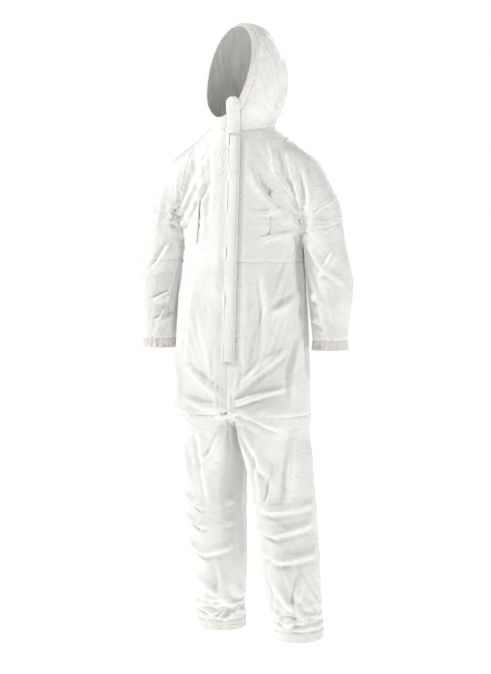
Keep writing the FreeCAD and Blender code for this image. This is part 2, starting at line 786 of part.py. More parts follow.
ZIP_TOP = "(-{zip_start})"
ZIP_BOTTOM = "(-{zip_length})"
TAPE_FRONT = "({coil_front} + {coil_thickness})"
TAPE_BACK = f"({TAPE_FRONT} + {{tape_thickness}})"
PLATE_BACK = "({coil_front} - {slider_clearance})"
PLATE_FRONT = f"({PLATE_BACK} - {{slider_plate}})"
BACK_PLATE_FRONT = f"({TAPE_BACK} + {{slider_clearance}})"
BACK_PLATE_BACK = f"({BACK_PLATE_FRONT} + {{slider_plate}})"
SLIDER_TOP = "(-{slider_start})"
SLIDER_BOTTOM = f"({SLIDER_TOP} - {{slider_length}})"
PIVOT_HEIGHT = f"({SLIDER_TOP} - {{slider_length}} / 2)"
PULL_BACK = f"({PLATE_FRONT} - {{pull_gap}})"
PULL_FRONT = f"({PULL_BACK} - {{pull_thickness}})"


def zip_halves():
    for side_name, side in SIDES:
        inner = f"{side} * {{coil_inner}}"
        outer = f"{side} * {{coil_outer}}"
        edge = f"{side} * ({{coil_inner}} + {{tape_width}})"
        coil = sorted((inner, outer), key=lambda text: side * (text == outer))
        tape = sorted((inner, edge), key=lambda text: side * (text == edge))
        body = front_body(f"zip_coil_{side_name}")
        pad(body, "coil", (coil[0], "{coil_front}"), (coil[1], TAPE_FRONT), ZIP_BOTTOM, ZIP_TOP)
        body = front_body(f"zip_tape_{side_name}")
        pad(body, "tape", (tape[0], TAPE_FRONT), (tape[1], TAPE_BACK), ZIP_BOTTOM, ZIP_TOP)


def zip_slider():
    body = front_body("zip_slider")
    web = "{slider_web}"
    wide = "{slider_half_width}"
    pad(body, "web", (f"-{web}", PLATE_FRONT), (web, BACK_PLATE_BACK), SLIDER_BOTTOM, SLIDER_TOP)
    pad(body, "front_plate", (f"-{wide}", PLATE_FRONT), (wide, PLATE_BACK), SLIDER_BOTTOM, SLIDER_TOP)
    near, far = (f"-{wide}", BACK_PLATE_FRONT), (wide, BACK_PLATE_BACK)
    pad(body, "back_plate", near, far, SLIDER_BOTTOM, SLIDER_TOP)
    lug = "{lug_half_width}"
    reach = f"{PLATE_FRONT} - {{lug_reach}}"
    low = f"{PIVOT_HEIGHT} - {lug}"
    pad(body, "lug", (f"-{lug}", reach), (lug, PLATE_FRONT), low, f"{PIVOT_HEIGHT} + {lug}")


def zip_pull():
    """A flat tab with a window that the slider's lug passes through."""
    body = front_body("zip_pull")
    wide = "{pull_half_width}"
    window = "({lug_half_width} + {pull_hole_gap})"
    low = f"{PIVOT_HEIGHT} - {{pull_length}}"
    high = f"{PIVOT_HEIGHT} + {{pull_above_pivot}}"
    window_low = f"{PIVOT_HEIGHT} - {window}"
    window_high = f"{PIVOT_HEIGHT} + {window}"
    pad(body, "tab", (f"-{wide}", PULL_FRONT), (wide, PULL_BACK), low, window_low)
    pad(body, "left_bar", (window, PULL_FRONT), (wide, PULL_BACK), window_low, window_high)
    pad(body, "right_bar", (f"-{wide}", PULL_FRONT), (f"-{window}", PULL_BACK), window_low, window_high)
    pad(body, "top_bar", (f"-{wide}", PULL_FRONT), (wide, PULL_BACK), window_high, high)


def zip_stops():
    body = front_body("zip_bottom_stop")
    reach = "{coil_outer}"
    low = f"{ZIP_BOTTOM} - {{stop_length}}"
    pad(body, "stop", (f"-{reach}", "{coil_front}"), (reach, TAPE_BACK), low, ZIP_BOTTOM)
    body = front_body("zip_top_stop")
    high = f"{ZIP_TOP} + {{stop_length}} / 2"
    pad(body, "stop", (f"-{reach}", "{coil_front}"), (reach, TAPE_BACK), ZIP_TOP, high)


zip_halves()
zip_slider()
zip_pull()
zip_stops()

FLAP_BOTTOM = f"({ZIP_BOTTOM} - {{stop_length}} - {{flap_overhang}})"
flap_body = front_body("storm_flap")
arched_strip(
    flap_body, "flap", "{flap_right}", "{flap_left}", FLAP_RADIUS, f"{FLAP_RADIUS} + {{flap_thickness}}",
    FLAP_BOTTOM, FLAP_TOP,
)
adhesive_body = front_body("flap_adhesive_tape")
arched_strip(
    adhesive_body, "adhesive", "{flap_right}", "{flap_right} + {adhesive_width}",
    f"{FLAP_RADIUS} - {{adhesive_thickness}}", FLAP_RADIUS, FLAP_BOTTOM, FLAP_TOP,
)


# Checks and files ------------------------------------------------------------------------------------------

doc.removeObject(probe.Name)
doc.recompute()
for obj in doc.Objects:
    for problem in ("Invalid", "Error"):
        if problem in obj.State:
            raise RuntimeError(f"{obj.Label} is {problem}")
for obj in pieces:
    shape = obj.Shape
    if shape.isNull() or not shape.isValid() or not shape.Solids or shape.Volume <= 0:
        raise RuntimeError(f"{obj.Label} has no sound solid")
    shape.exportStep(f"parts/{obj.Label}.step")
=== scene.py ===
# %% [markdown]
# # A hooded protective coverall in white laminated cloth
# The suit stands as if a wearer were inside it. It is cut from flat panels of thin film-coated
# non-woven cloth, so it creases sharply, bags at the knees and hangs in soft folds from its seams.
# The plan: build the whole skin as one mesh, let a cloth simulation settle it over a hidden figure,
# add the named folds, and only then cut it along its real seams into panels.

import math

import bmesh
import bpy
import numpy as np
from mathutils import Matrix, Vector, noise
from mathutils.bvhtree import BVHTree


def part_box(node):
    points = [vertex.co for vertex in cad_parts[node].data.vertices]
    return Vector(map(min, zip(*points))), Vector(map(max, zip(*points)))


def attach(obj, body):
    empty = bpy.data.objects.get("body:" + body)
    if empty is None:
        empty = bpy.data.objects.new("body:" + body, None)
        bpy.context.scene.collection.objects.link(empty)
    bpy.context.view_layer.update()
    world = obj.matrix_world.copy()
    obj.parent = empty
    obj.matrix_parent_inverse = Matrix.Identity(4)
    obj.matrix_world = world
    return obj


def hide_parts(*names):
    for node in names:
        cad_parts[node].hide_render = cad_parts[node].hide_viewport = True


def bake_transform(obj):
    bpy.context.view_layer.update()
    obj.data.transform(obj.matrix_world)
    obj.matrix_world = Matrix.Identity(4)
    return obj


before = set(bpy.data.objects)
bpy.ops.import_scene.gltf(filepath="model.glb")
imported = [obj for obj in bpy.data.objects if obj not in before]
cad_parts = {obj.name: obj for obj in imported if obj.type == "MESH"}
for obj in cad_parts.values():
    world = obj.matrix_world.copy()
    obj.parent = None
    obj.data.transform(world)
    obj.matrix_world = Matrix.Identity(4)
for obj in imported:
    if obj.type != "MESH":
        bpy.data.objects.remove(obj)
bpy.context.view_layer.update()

# %% [markdown]
# The imported part gives every size that matters: how far the front leans, where the neck is and how far
# the hood turns on it. They are kept here once, in metres, and every piece is placed from them.

# %% Shared places and small helpers
LEAN = math.radians(4.9)
NECK_TILT = math.radians(14)
HOOD_TURN = math.radians(-30)
NECK = Vector((0, 0, 0.010))
NECK_UP = Vector((0, -math.sin(NECK_TILT), math.cos(NECK_TILT)))
FRONT_Y, FRONT_Z = -0.09121, -0.01274
TURN_HEAD = (
    Matrix.Translation(NECK) @ Matrix.Rotation(HOOD_TURN, 4, NECK_UP) @ Matrix.Translation(-NECK)
)
FACE_POINT = TURN_HEAD @ Vector((0, -0.098, 0.035))
FACE_SLANT = math.radians(9.6)
FACE_OUT = TURN_HEAD.to_3x3() @ Vector((0, -math.cos(FACE_SLANT), math.sin(FACE_SLANT)))
HOOD_SIDE = TURN_HEAD.to_3x3() @ Vector((1, 0, 0))


def front_at(across, out, along):
    """A point near the leaning front: out is away from the chest, along runs up from the neck seam."""
    y = FRONT_Y - out * math.cos(LEAN) + along * math.sin(LEAN)
    z = FRONT_Z + out * math.sin(LEAN) + along * math.cos(LEAN)
    return Vector((across, y, z))


def front_line(z):
    """How far forward the middle of the chest is at a height."""
    return FRONT_Y + (z - FRONT_Z) * math.tan(LEAN)


def step(value, start, end):
    """0 before start, 1 after end, and a smooth rise between them."""
    t = np.clip((value - start) / (end - start), 0.0, 1.0)
    return t * t * (3 - 2 * t)


def mesh_object(name, vertices, faces):
    mesh = bpy.data.meshes.new(name)
    mesh.from_pydata([tuple(v) for v in vertices], [], faces)
    mesh.update()
    obj = bpy.data.objects.new(name, mesh)
    bpy.context.scene.collection.objects.link(obj)
    return obj


def only(obj):
    bpy.ops.object.select_all(action="DESELECT")
    obj.select_set(True)
    bpy.context.view_layer.objects.active = obj


def apply_modifier(obj, kind, **settings):
    only(obj)
    modifier = obj.modifiers.new(kind, kind)
    for key, value in settings.items():
        setattr(modifier, key, value)
    bpy.ops.object.modifier_apply(modifier=modifier.name)


def coordinates(obj):
    data = np.empty(len(obj.data.vertices) * 3)
    obj.data.vertices.foreach_get("co", data)
    return data.reshape(-1, 3)


def set_coordinates(obj, data):
    obj.data.vertices.foreach_set("co", np.asarray(data, dtype=np.float32).ravel())
    obj.data.update()


# %% [markdown]
# A suit's form is a few tubes: a body, a hood, two sleeves and two trouser legs. Each tube is lofted
# through oval rings, as a tailor's dummy is built from wire hoops. The arms and legs are spread a
# little while the tubes are joined, so that a sleeve doesn't melt into the hip beside it.

# %% Lofted tubes
RING_POINTS = 56


def ring(centre, half_x, half_y, pitch=0.0, power=2.0):
    """An oval round a centre. Pitch turns it about Y, so a sleeve's rings can follow the shoulder."""
    turn = Matrix.Rotation(pitch, 3, "Y")
    points = []
    for k in range(RING_POINTS):
        a = 2 * math.pi * k / RING_POINTS
        c, s = math.cos(a), math.sin(a)
        c = math.copysign(abs(c) ** (2 / power), c)
        s = math.copysign(abs(s) ** (2 / power), s)
        points.append(Vector(centre) + turn @ Vector((half_x * c, half_y * s, 0)))
    return points


def tube(name, rings):
    vertices = [v for points in rings for v in points]
    faces = []
    for level in range(len(rings) - 1):
        for k in range(RING_POINTS):
            a = level * RING_POINTS + k
            b = level * RING_POINTS + (k + 1) % RING_POINTS
            faces.append((a, b, b + RING_POINTS, a + RING_POINTS))
    faces.append(tuple(range(RING_POINTS))[::-1])
    top = (len(rings) - 1) * RING_POINTS
    faces.append(tuple(range(top, top + RING_POINTS)))
    obj = mesh_object(name, vertices, faces)
    only(obj)
    bpy.ops.object.mode_set(mode="EDIT")
    bpy.ops.mesh.select_all(action="SELECT")
    bpy.ops.mesh.normals_make_consistent(inside=False)
    bpy.ops.object.mode_set(mode="OBJECT")
    return obj


def neck_ring(shift, half, half_deep=None):
    points = ring((0, 0, 0), half, half_deep or half)
    tip = Matrix.Rotation(NECK_TILT, 3, "X")
    return [NECK + tip @ (p + Vector((0, 0, shift))) for p in points]


TORSO_LEVELS = (
    (-0.035, 0.150, 0.100), (-0.075, 0.166, 0.112), (-0.150, 0.169, 0.116), (-0.225, 0.171, 0.119),
    (-0.310, 0.177, 0.123), (-0.387, 0.182, 0.128), (-0.520, 0.194, 0.138), (-0.680, 0.206, 0.149),
    (-0.815, 0.209, 0.151),
)
HOOD_LEVELS = (
    (0.060, 0.105, 0.112), (0.100, 0.109, 0.119), (0.140, 0.110, 0.122), (0.180, 0.107, 0.118),
    (0.215, 0.100, 0.108), (0.247, 0.088, 0.093), (0.272, 0.072, 0.074), (0.290, 0.053, 0.056),
    (0.303, 0.028, 0.032),
)
ARM_SPREAD = 0.045
ARM_TOP, ARM_FREE = 0.200, 0.330
LEG_SPREAD = 0.030


def torso_tube():
    rings = [neck_ring(0.012, 0.094), neck_ring(-0.002, 0.095)]
    for z, half_x, half_y in TORSO_LEVELS:
        rings.append(ring((0, front_line(z) + half_y, z), half_x, half_y, power=2.15))
    rings.append(ring((0, -0.006, -0.838), 0.185, 0.126))
    return tube("torso_form", rings)


def hood_tube():
    rings = [neck_ring(-0.004, 0.094)]
    for z, half_x, half_y in HOOD_LEVELS:
        rings.append([TURN_HEAD @ p for p in ring((0, -0.002, z), half_x, half_y)])
    return tube("hood_form", rings)


def arm_tube(side):
    """Round at the armhole, over the shoulder, and down to the gathered cuff."""
    right_angle = math.radians(90)
    levels = (
        (0.090, 0.014, -0.100, 0.074, 0.080, 90), (0.145, 0.014, -0.112, 0.078, 0.083, 78),
        (0.176, 0.014, -0.142, 0.078, 0.082, 52), (0.196, 0.014, -0.190, 0.074, 0.078, 30),
        (0.216, 0.014, -0.245, 0.070, 0.074, 20), (0.239, 0.014, -0.320, 0.067, 0.071, 14),
        (0.262, 0.014, -0.420, 0.067, 0.072, 6), (0.268, 0.014, -0.465, 0.067, 0.072, 0),
        (0.266, 0.010, -0.530, 0.061, 0.067, 0), (0.262, 0.005, -0.598, 0.051, 0.056, 0),
        (0.262, 0.005, -0.640, 0.054, 0.058, 0), (0.262, 0.005, -0.665, 0.055, 0.059, 0),
    )
    rings = []
    for x, y, z, half_x, half_y, pitch in levels:
        shift = ARM_SPREAD * float(step(-z, ARM_TOP, ARM_FREE))
        rings.append(
            ring((side * (x + shift), y, z), half_x, half_y, pitch=-side * math.radians(pitch))
        )
    return tube("arm_form", rings)


LEG_PATHS = {
    1: ((0.140, 0.000), (0.175, -0.010)),
    -1: ((-0.095, 0.022), (-0.085, 0.060)),
}


def leg_tube(side):
    knee, hem = LEG_PATHS[side]
    hip = (side * 0.104, -0.0076)

    def between(a, b, t):
        return (a[0] + (b[0] - a[0]) * t, a[1] + (b[1] - a[1]) * t)

    levels = (
        (hip, -0.770, 0.096, 0.130), (hip, -0.815, 0.104, 0.146), (between(hip, knee, 0.12), -0.860, 0.101, 0.132),
        (between(hip, knee, 0.35), -0.930, 0.098, 0.116), (between(hip, knee, 0.72), -1.036, 0.094, 0.101),
        (knee, -1.140, 0.092, 0.098), (between(knee, hem, 0.33), -1.244, 0.090, 0.097),
        (between(knee, hem, 0.7), -1.370, 0.080, 0.088), (hem, -1.480, 0.073, 0.080), (hem, -1.506, 0.072, 0.079),
    )
    rings = []
    for (x, y), z, half_x, half_y in levels:
        shift = side * LEG_SPREAD * float(step(-z, 0.80, 0.90))
        rings.append(ring((x + shift, y, z), half_x, half_y))
    return tube("leg_form", rings)


forms = [torso_tube(), hood_tube(), arm_tube(1), arm_tube(-1), leg_tube(1), leg_tube(-1)]
print("tubes:", len(forms))

# %% [markdown]
# Joining the tubes with a voxel remesh gives one even skin with no seams in it, which is what a
# cloth simulation likes best. A few rounds of smoothing round off the armpits and the crotch.

# %% One even skin
VOXEL = 0.0085
bpy.ops.object.select_all(action="DESELECT")
for form in forms:
    form.select_set(True)
bpy.context.view_layer.objects.active = forms[0]
bpy.ops.object.join()
skin = forms[0]
skin.name = "suit_skin"
apply_modifier(skin, "REMESH", mode="VOXEL", voxel_size=VOXEL)
apply_modifier(skin, "SMOOTH", factor=0.5, iterations=10)
print("skin vertices:", len(skin.data.vertices))


def spread_back(layout):
    """Brings the spread arms and legs back beside the body."""
    place = layout.copy()
    x, z = layout[:, 0], layout[:, 2]
    arm = arm_side(layout)
    place[:, 0] -= arm * ARM_SPREAD * step(-z, ARM_TOP, ARM_FREE)
    leg = np.where(z < -0.80, np.sign(x), 0.0)
    place[:, 0] -= leg * LEG_SPREAD * step(-z, 0.80, 0.90)
    return place


ARMHOLE_POINT = Vector((0.160, 0, -0.120))
ARMHOLE_OUT = Vector((0.964, 0, 0.267))


def arm_side(layout):
    """1 for the left arm, -1 for the right arm, 0 elsewhere, for an array of points."""
    x, z = layout[:, 0], layout[:, 2]
    beyond = (abs(x) - ARMHOLE_POINT.x) * ARMHOLE_OUT.x + (z - ARMHOLE_POINT.z) * ARMHOLE_OUT.z
    beside = abs(x) > 0.190 + 0.038 * step(-z, 0.24, 0.40)
    inside = (z > -0.70) & (z < 0.0) & np.where(z < -0.24, beside, beyond > 0)
    return np.where(inside, np.sign(x), 0.0)


layout = coordinates(skin)
rest = spread_back(layout)
print("arm points:", int(abs(arm_side(layout)).sum()))

# %% [markdown]
# The hidden figure is the same form, a little thinner. The cloth is told to grow by a few percent, so
# it has more length than the figure needs, and gravity lets the extra settle into folds. Cuffs, hems,
# the neck seam, the face edge and the zip line are held still, as their stitching holds them.

# %% Settle the cloth
def in_front_of_face(points, margin):
    return (points - np.array(FACE_POINT)) @ np.array(FACE_OUT) > margin


def held_points(points):
    x, y, z = points.T
    arm = abs(arm_side(layout)) > 0
    neck = abs((points - np.array(NECK)) @ np.array(NECK_UP)) < 0.012
    held = np.zeros(len(points))
    held[(z < -1.435) | (arm & (z < -0.600))] = 1
    held[neck & (abs(x) < 0.12)] = 1
    held[(z > 0.0) & in_front_of_face(points, -0.020)] = 1
    zip_line = (y < 0) & (z > -0.70) & ~arm & (z < 0.02)
    held = np.maximum(held, np.where(zip_line, 1 - step(abs(x), 0.030, 0.060), 0))
    return held


def slack_points(points):
    """How much spare cloth each place has, from 0 to 1: most at the knees and the forearms."""
    x, y, z = points.T
    arm = abs(arm_side(layout)) > 0
    knees = np.exp(-(((z + 1.17) / 0.16) ** 2))
    thighs = 0.55 * step(-z, 0.80, 0.95)
    hips = 0.35 * step(-z, 0.42, 0.75)
    forearms = 0.25 + 0.65 * step(-z, 0.30, 0.50)
    hood = np.where(z > 0.02, 0.45, 0.0)
    body = np.maximum(np.maximum(knees, thighs), np.maximum(hips, hood))
    return np.where(arm, forearms, np.maximum(body, 0.12))


def settle(rest_points):
    """Runs the cloth and returns where each point ends."""
    figure = skin.copy()
    figure.data = skin.data.copy()
    bpy.context.scene.collection.objects.link(figure)
    set_coordinates(figure, rest_points)
    apply_modifier(figure, "DISPLACE", strength=-0.013, mid_level=0.0)
    apply_modifier(figure, "DECIMATE", ratio=0.35)
    figure.modifiers.new("Collision", "COLLISION")
    figure.collision.thickness_outer = 0.003
    figure.collision.cloth_friction = 12
    cloth_skin = skin.copy()
    cloth_skin.data = skin.data.copy()
    bpy.context.scene.collection.objects.link(cloth_skin)
    set_coordinates(cloth_skin, rest_points)
    held = held_points(rest_points)
    group = cloth_skin.vertex_groups.new(name="held")
    for weight in (0.25, 0.5, 0.75, 1.0):
        chosen = np.nonzero((held > weight - 0.25) & (held <= weight))[0]
        group.add([int(i) for i in chosen], weight, "REPLACE")
    only(cloth_skin)
    modifier = cloth_skin.modifiers.new("Cloth", "CLOTH")
    settings = modifier.settings
    settings.quality = 5
    settings.mass = 0.25
    settings.tension_stiffness = 25
    settings.compression_stiffness = 25
    settings.shear_stiffness = 12
    settings.bending_stiffness = 2.0
    settings.air_damping = 2.0
    settings.shrink_min = -0.008
    settings.shrink_max = -0.060
    slack = cloth_skin.vertex_groups.new(name="slack")
    amount = slack_points(rest_points)
    for level in range(1, 11):
        chosen = np.nonzero((amount > (level - 1) / 10) & (amount <= level / 10))[0]
        slack.add([int(i) for i in chosen], level / 10, "REPLACE")
    settings.vertex_group_shrink = "slack"
    settings.vertex_group_mass = "held"
    modifier.collision_settings.distance_min = 0.003
    modifier.collision_settings.collision_quality = 2
    modifier.point_cache.frame_start = 1
    modifier.point_cache.frame_end = FRAMES
    for number in range(1, FRAMES + 1):
        bpy.context.scene.frame_set(number)
    ready = cloth_skin.evaluated_get(bpy.context.evaluated_depsgraph_get())
    result = coordinates(ready)
    bpy.context.scene.frame_set(1)
    bpy.data.objects.remove(cloth_skin)
    bpy.data.objects.remove(figure)
    return result


FRAMES = 24
MOST_MOVE = 0.026
moved = np.zeros_like(rest)
import time
began = time.time()
moved = settle(rest) - rest
print("settled in", round(time.time() - began), "s, moved", moved.min(axis=0), moved.max(axis=0))
length = np.linalg.norm(moved, axis=1)
moved *= np.minimum(1, MOST_MOVE / np.maximum(length, 1e-9))[:, None]

# %% [markdown]
# The coarse skin is smoothed to twice its detail with a subdivision, once as it was laid out and once
# as it settled. The laid-out one is easy to cut along straight seams, and it carries the settled place
# of every point with it as an attribute, so the cuts follow the cloth wherever it went.

# %% Finer skin that knows both places
def finer(points):
    copy = skin.copy()
    copy.data = skin.data.copy()
    bpy.context.scene.collection.objects.link(copy)
    set_coordinates(copy, points)
    apply_modifier(copy, "SUBSURF", levels=1, render_levels=1)
    return copy


placed_skin = finer(rest + moved)
layout_skin = finer(layout)
closed_front = BVHTree.FromPolygons(
    [Vector(v) for v in coordinates(placed_skin)], [tuple(p.vertices) for p in placed_skin.data.polygons]
)
cutter = bmesh.new()
cutter.from_mesh(layout_skin.data)
place_layer = cutter.verts.layers.float_vector.new("place")
for vertex, place in zip(cutter.verts, coordinates(placed_skin)):
    vertex[place_layer] = place
print("fine skin:", len(cutter.verts), "points")

# %% [markdown]
# Real seams are where flat panels meet: round the armholes, down the sides, across the chest, round
# the tops of the legs. Each one is a straight cut through the laid-out skin, and only through the part
# of it that the seam belongs to.

# %% Cut along the seams
def cut(point, direction, belongs, remove=False):
    """Cuts the faces that belong. With remove, what lies on the direction's side goes away."""
    point, direction = Vector(point), Vector(direction).normalized()
    chosen = set()
    for face in cutter.faces:
        sides = [(v.co - point).dot(direction) for v in face.verts]
        crosses = min(sides) < 0 < max(sides)
        if (crosses or (remove and min(sides) >= 0)) and belongs(face.calc_center_median()):
            chosen.add(face)
    parts = set(chosen)
    for face in chosen:
        parts.update(face.verts)
        parts.update(face.edges)
    bmesh.ops.bisect_plane(
        cutter, geom=list(parts), dist=1e-5, plane_co=point, plane_no=direction, clear_outer=False
    )
    if remove:
        gone = []
        for face in cutter.faces:
            centre = face.calc_center_median()
            if (centre - point).dot(direction) > 0 and belongs(centre):
                gone.append(face)
        bmesh.ops.delete(cutter, geom=gone, context="FACES")


def side_of(c):
    return int(arm_side(np.array([c]))[0])


def on_arm(c):
    return side_of(c) != 0


def on_hood(c):
    return (c - NECK).dot(NECK_UP) > -0.001 and abs(c.x) < 0.14 and c.z > -0.03


def on_torso(c):
    return c.z > -0.835 and not on_arm(c) and (c - NECK).dot(NECK_UP) < 0.001


def on_legs(c):
    return c.z < -0.80 and not on_arm(c)


CHEST_SEAM_Z = -0.387
LEG_SEAM_Z = -0.822
KNEE_SPLIT_Z = -1.088
LEG_HEM_Z = -1.448
CUFF_Z = -0.612
SIDE_SEAM_Y = 0.010
SLEEVE_SEAMS = {
    1: (Vector((0.285, 0, -0.300)), Vector((-0.415, 0, 0.910))),
    -1: (Vector((-0.285, 0, -0.385)), Vector((0, 0, 1))),
}
FACE_HEM = 0.015

cut(FACE_POINT, FACE_OUT, on_hood, remove=True)
cut((0, 0, -0.640), (0, 0, -1), on_arm, remove=True)
cut((0, 0, -1.480), (0, 0, -1), on_legs, remove=True)
cut(NECK, NECK_UP, lambda c: abs(c.x) < 0.14 and -0.05 < c.z < 0.06)
cut(FACE_POINT - FACE_OUT * FACE_HEM, FACE_OUT, on_hood)
cut(NECK, HOOD_SIDE, on_hood)
for side in (1, -1):
    out = Vector((side * ARMHOLE_OUT.x, 0, ARMHOLE_OUT.z))
    point = Vector((side * ARMHOLE_POINT.x, 0, ARMHOLE_POINT.z))
    cut(point, out, lambda c: -0.27 < c.z < 0 and c.x * side > 0.08)
    cut(*SLEEVE_SEAMS[side], lambda c: side_of(c) == side)
cut((0, 0, CUFF_Z), (0, 0, 1), on_arm)
cut((0, 0, CHEST_SEAM_Z), (0, 0, 1), on_torso)
cut((0, SIDE_SEAM_Y, 0), (0, 1, 0), on_torso)
cut((0, 0, LEG_SEAM_Z), (0, 0, 1), lambda c: not on_arm(c))
cut((0, 0, KNEE_SPLIT_Z), (0, 0, 1), on_legs)
cut((0, 0, LEG_HEM_Z), (0, 0, 1), on_legs)
cut((0, 0, 0), (1, 0, 0), lambda c: on_torso(c) and (c.z < CHEST_SEAM_Z or c.y < 0))
print("after cutting:", len(cutter.faces), "faces")

# %% [markdown]
# The front is open in a narrow slit under the storm flap, where the zip sits.

# %% Open the zip slit
SLIT_HALF = 0.0035
ZIP_TOP_Z, ZIP_BOTTOM_Z = -0.019, -0.659


def under_flap(c):
    return on_torso(c) and c.y < 0 and ZIP_BOTTOM_Z < c.z < ZIP_TOP_Z and abs(c.x) < 0.02


cut((SLIT_HALF, 0, 0), (1, 0, 0), under_flap)
cut((-SLIT_HALF, 0, 0), (1, 0, 0), under_flap)
gone = [f for f in cutter.faces if under_flap(f.calc_center_median()) and abs(f.calc_center_median().x) < SLIT_HALF]
bmesh.ops.delete(cutter, geom=gone, context="FACES")
loose = [v for v in cutter.verts if not v.link_faces]
bmesh.ops.delete(cutter, geom=loose, context="VERTS")
cutter.verts.ensure_lookup_table()
cutter.verts.index_update()
print("slit faces removed:", len(gone))

# %% Give every face its panel
def panel_name(c):
    side = side_of(c)
    if side:
        hand = "left" if side > 0 else "right"
        point, up = SLEEVE_SEAMS[side]
        if c.z < CUFF_Z:
            return f"{hand}_cuff_hem"
        return f"{hand}_upper_sleeve" if (c - point).dot(up) > 0 else f"{hand}_lower_sleeve"
    if (c - NECK).dot(NECK_UP) > 0 and abs(c.x) < 0.14:
        if (c - FACE_POINT).dot(FACE_OUT) > -FACE_HEM:
            return "hood_face_hem"
        return "hood_left_panel" if (c - NECK).dot(HOOD_SIDE) > 0 else "hood_right_panel"
    hand = "left" if c.x > 0 else "right"
    if c.z < LEG_HEM_Z:
        return f"{hand}_leg_hem"
    if c.z < KNEE_SPLIT_Z:
        return f"{hand}_lower_leg"
    if c.z < LEG_SEAM_Z:
        return f"{hand}_upper_leg"
    level = "upper" if c.z > CHEST_SEAM_Z else "lower"
    if c.y > SIDE_SEAM_Y:
        return "upper_back" if level == "upper" else f"lower_back_{hand}"
    return f"{level}_front_{hand}"


panel_of_face = [panel_name(f.calc_center_median()) for f in cutter.faces]
seam_edges = []
for edge in cutter.edges:
    names = {panel_of_face[f.index] for f in edge.link_faces}
    if len(names) > 1:
        seam_edges.append(edge)
print("panels:", sorted(set(panel_of_face)), "seam edges:", len(seam_edges))
for vertex in cutter.verts:
    vertex.co = vertex[place_layer]
cutter.normal_update()

# %% [markdown]
# Folds are what make cloth read as cloth. The simulation gives the small ones. The long ones, from the
# armpits, the crotch and behind the knees, are drawn one by one: each is a path on the surface with a
# rounded ridge on one side of it and a sharper valley on the other.

# %% Long folds
points = np.array([v.co for v in cutter.verts])
normals = np.array([v.normal for v in cutter.verts])


def on_surface(view, across, z):
    """The surface point seen from the front, the back or a side, at a distance across and a height."""
    looks = {
        "front": (Vector((across, -1, z)), Vector((0, 1, 0))),
        "back": (Vector((across, 1, z)), Vector((0, -1, 0))),
        "left": (Vector((1, across, z)), Vector((-1, 0, 0))),
        "right": (Vector((-1, across, z)), Vector((1, 0, 0))),
    }
    start, way = looks[view]
    hit = closed_front.ray_cast(start, way)
    return np.array(hit[0]) if hit[0] is not None else None


def fold(view, path, width, depth):
    """Raises a ridge along a path, with a valley beside it, fading out at both ends."""
    spots = [on_surface(view, across, z) for across, z in path]
    spots = [spot for spot in spots if spot is not None]
    lengths = [np.linalg.norm(b - a) for a, b in zip(spots, spots[1:])]
    total = sum(lengths)
    best = np.full(len(points), 1e9)
    signed = np.zeros(len(points))
    along = np.zeros(len(points))
    done = 0.0
    for a, b, size in zip(spots, spots[1:], lengths):
        way = (b - a) / max(size, 1e-6)
        t = np.clip((points - a) @ way, 0, size)
        off = points - (a + t[:, None] * way)
        gap = np.linalg.norm(off, axis=1)
        nearer = gap < best
        side = np.einsum("ij,ij->i", np.cross(np.broadcast_to(way, off.shape), normals), off)
        best = np.where(nearer, gap, best)
        signed = np.where(nearer, side, signed)
        along = np.where(nearer, (done + t) / total, along)
        done += size
    near = best < width * 3.2
    s = signed[near] / width
    over = np.sqrt(np.maximum((best[near] / width) ** 2 - s**2, 0))
    shape = np.exp(-(s**2)) - 0.75 * np.exp(-(((s - 1.35) / 0.55) ** 2))
    fade = np.sin(np.pi * np.clip(along[near], 0.02, 0.98)) ** 0.6 * np.exp(-(over**2))
    points[near] += normals[near] * (FOLD_STRENGTH * depth * shape * fade)[:, None]


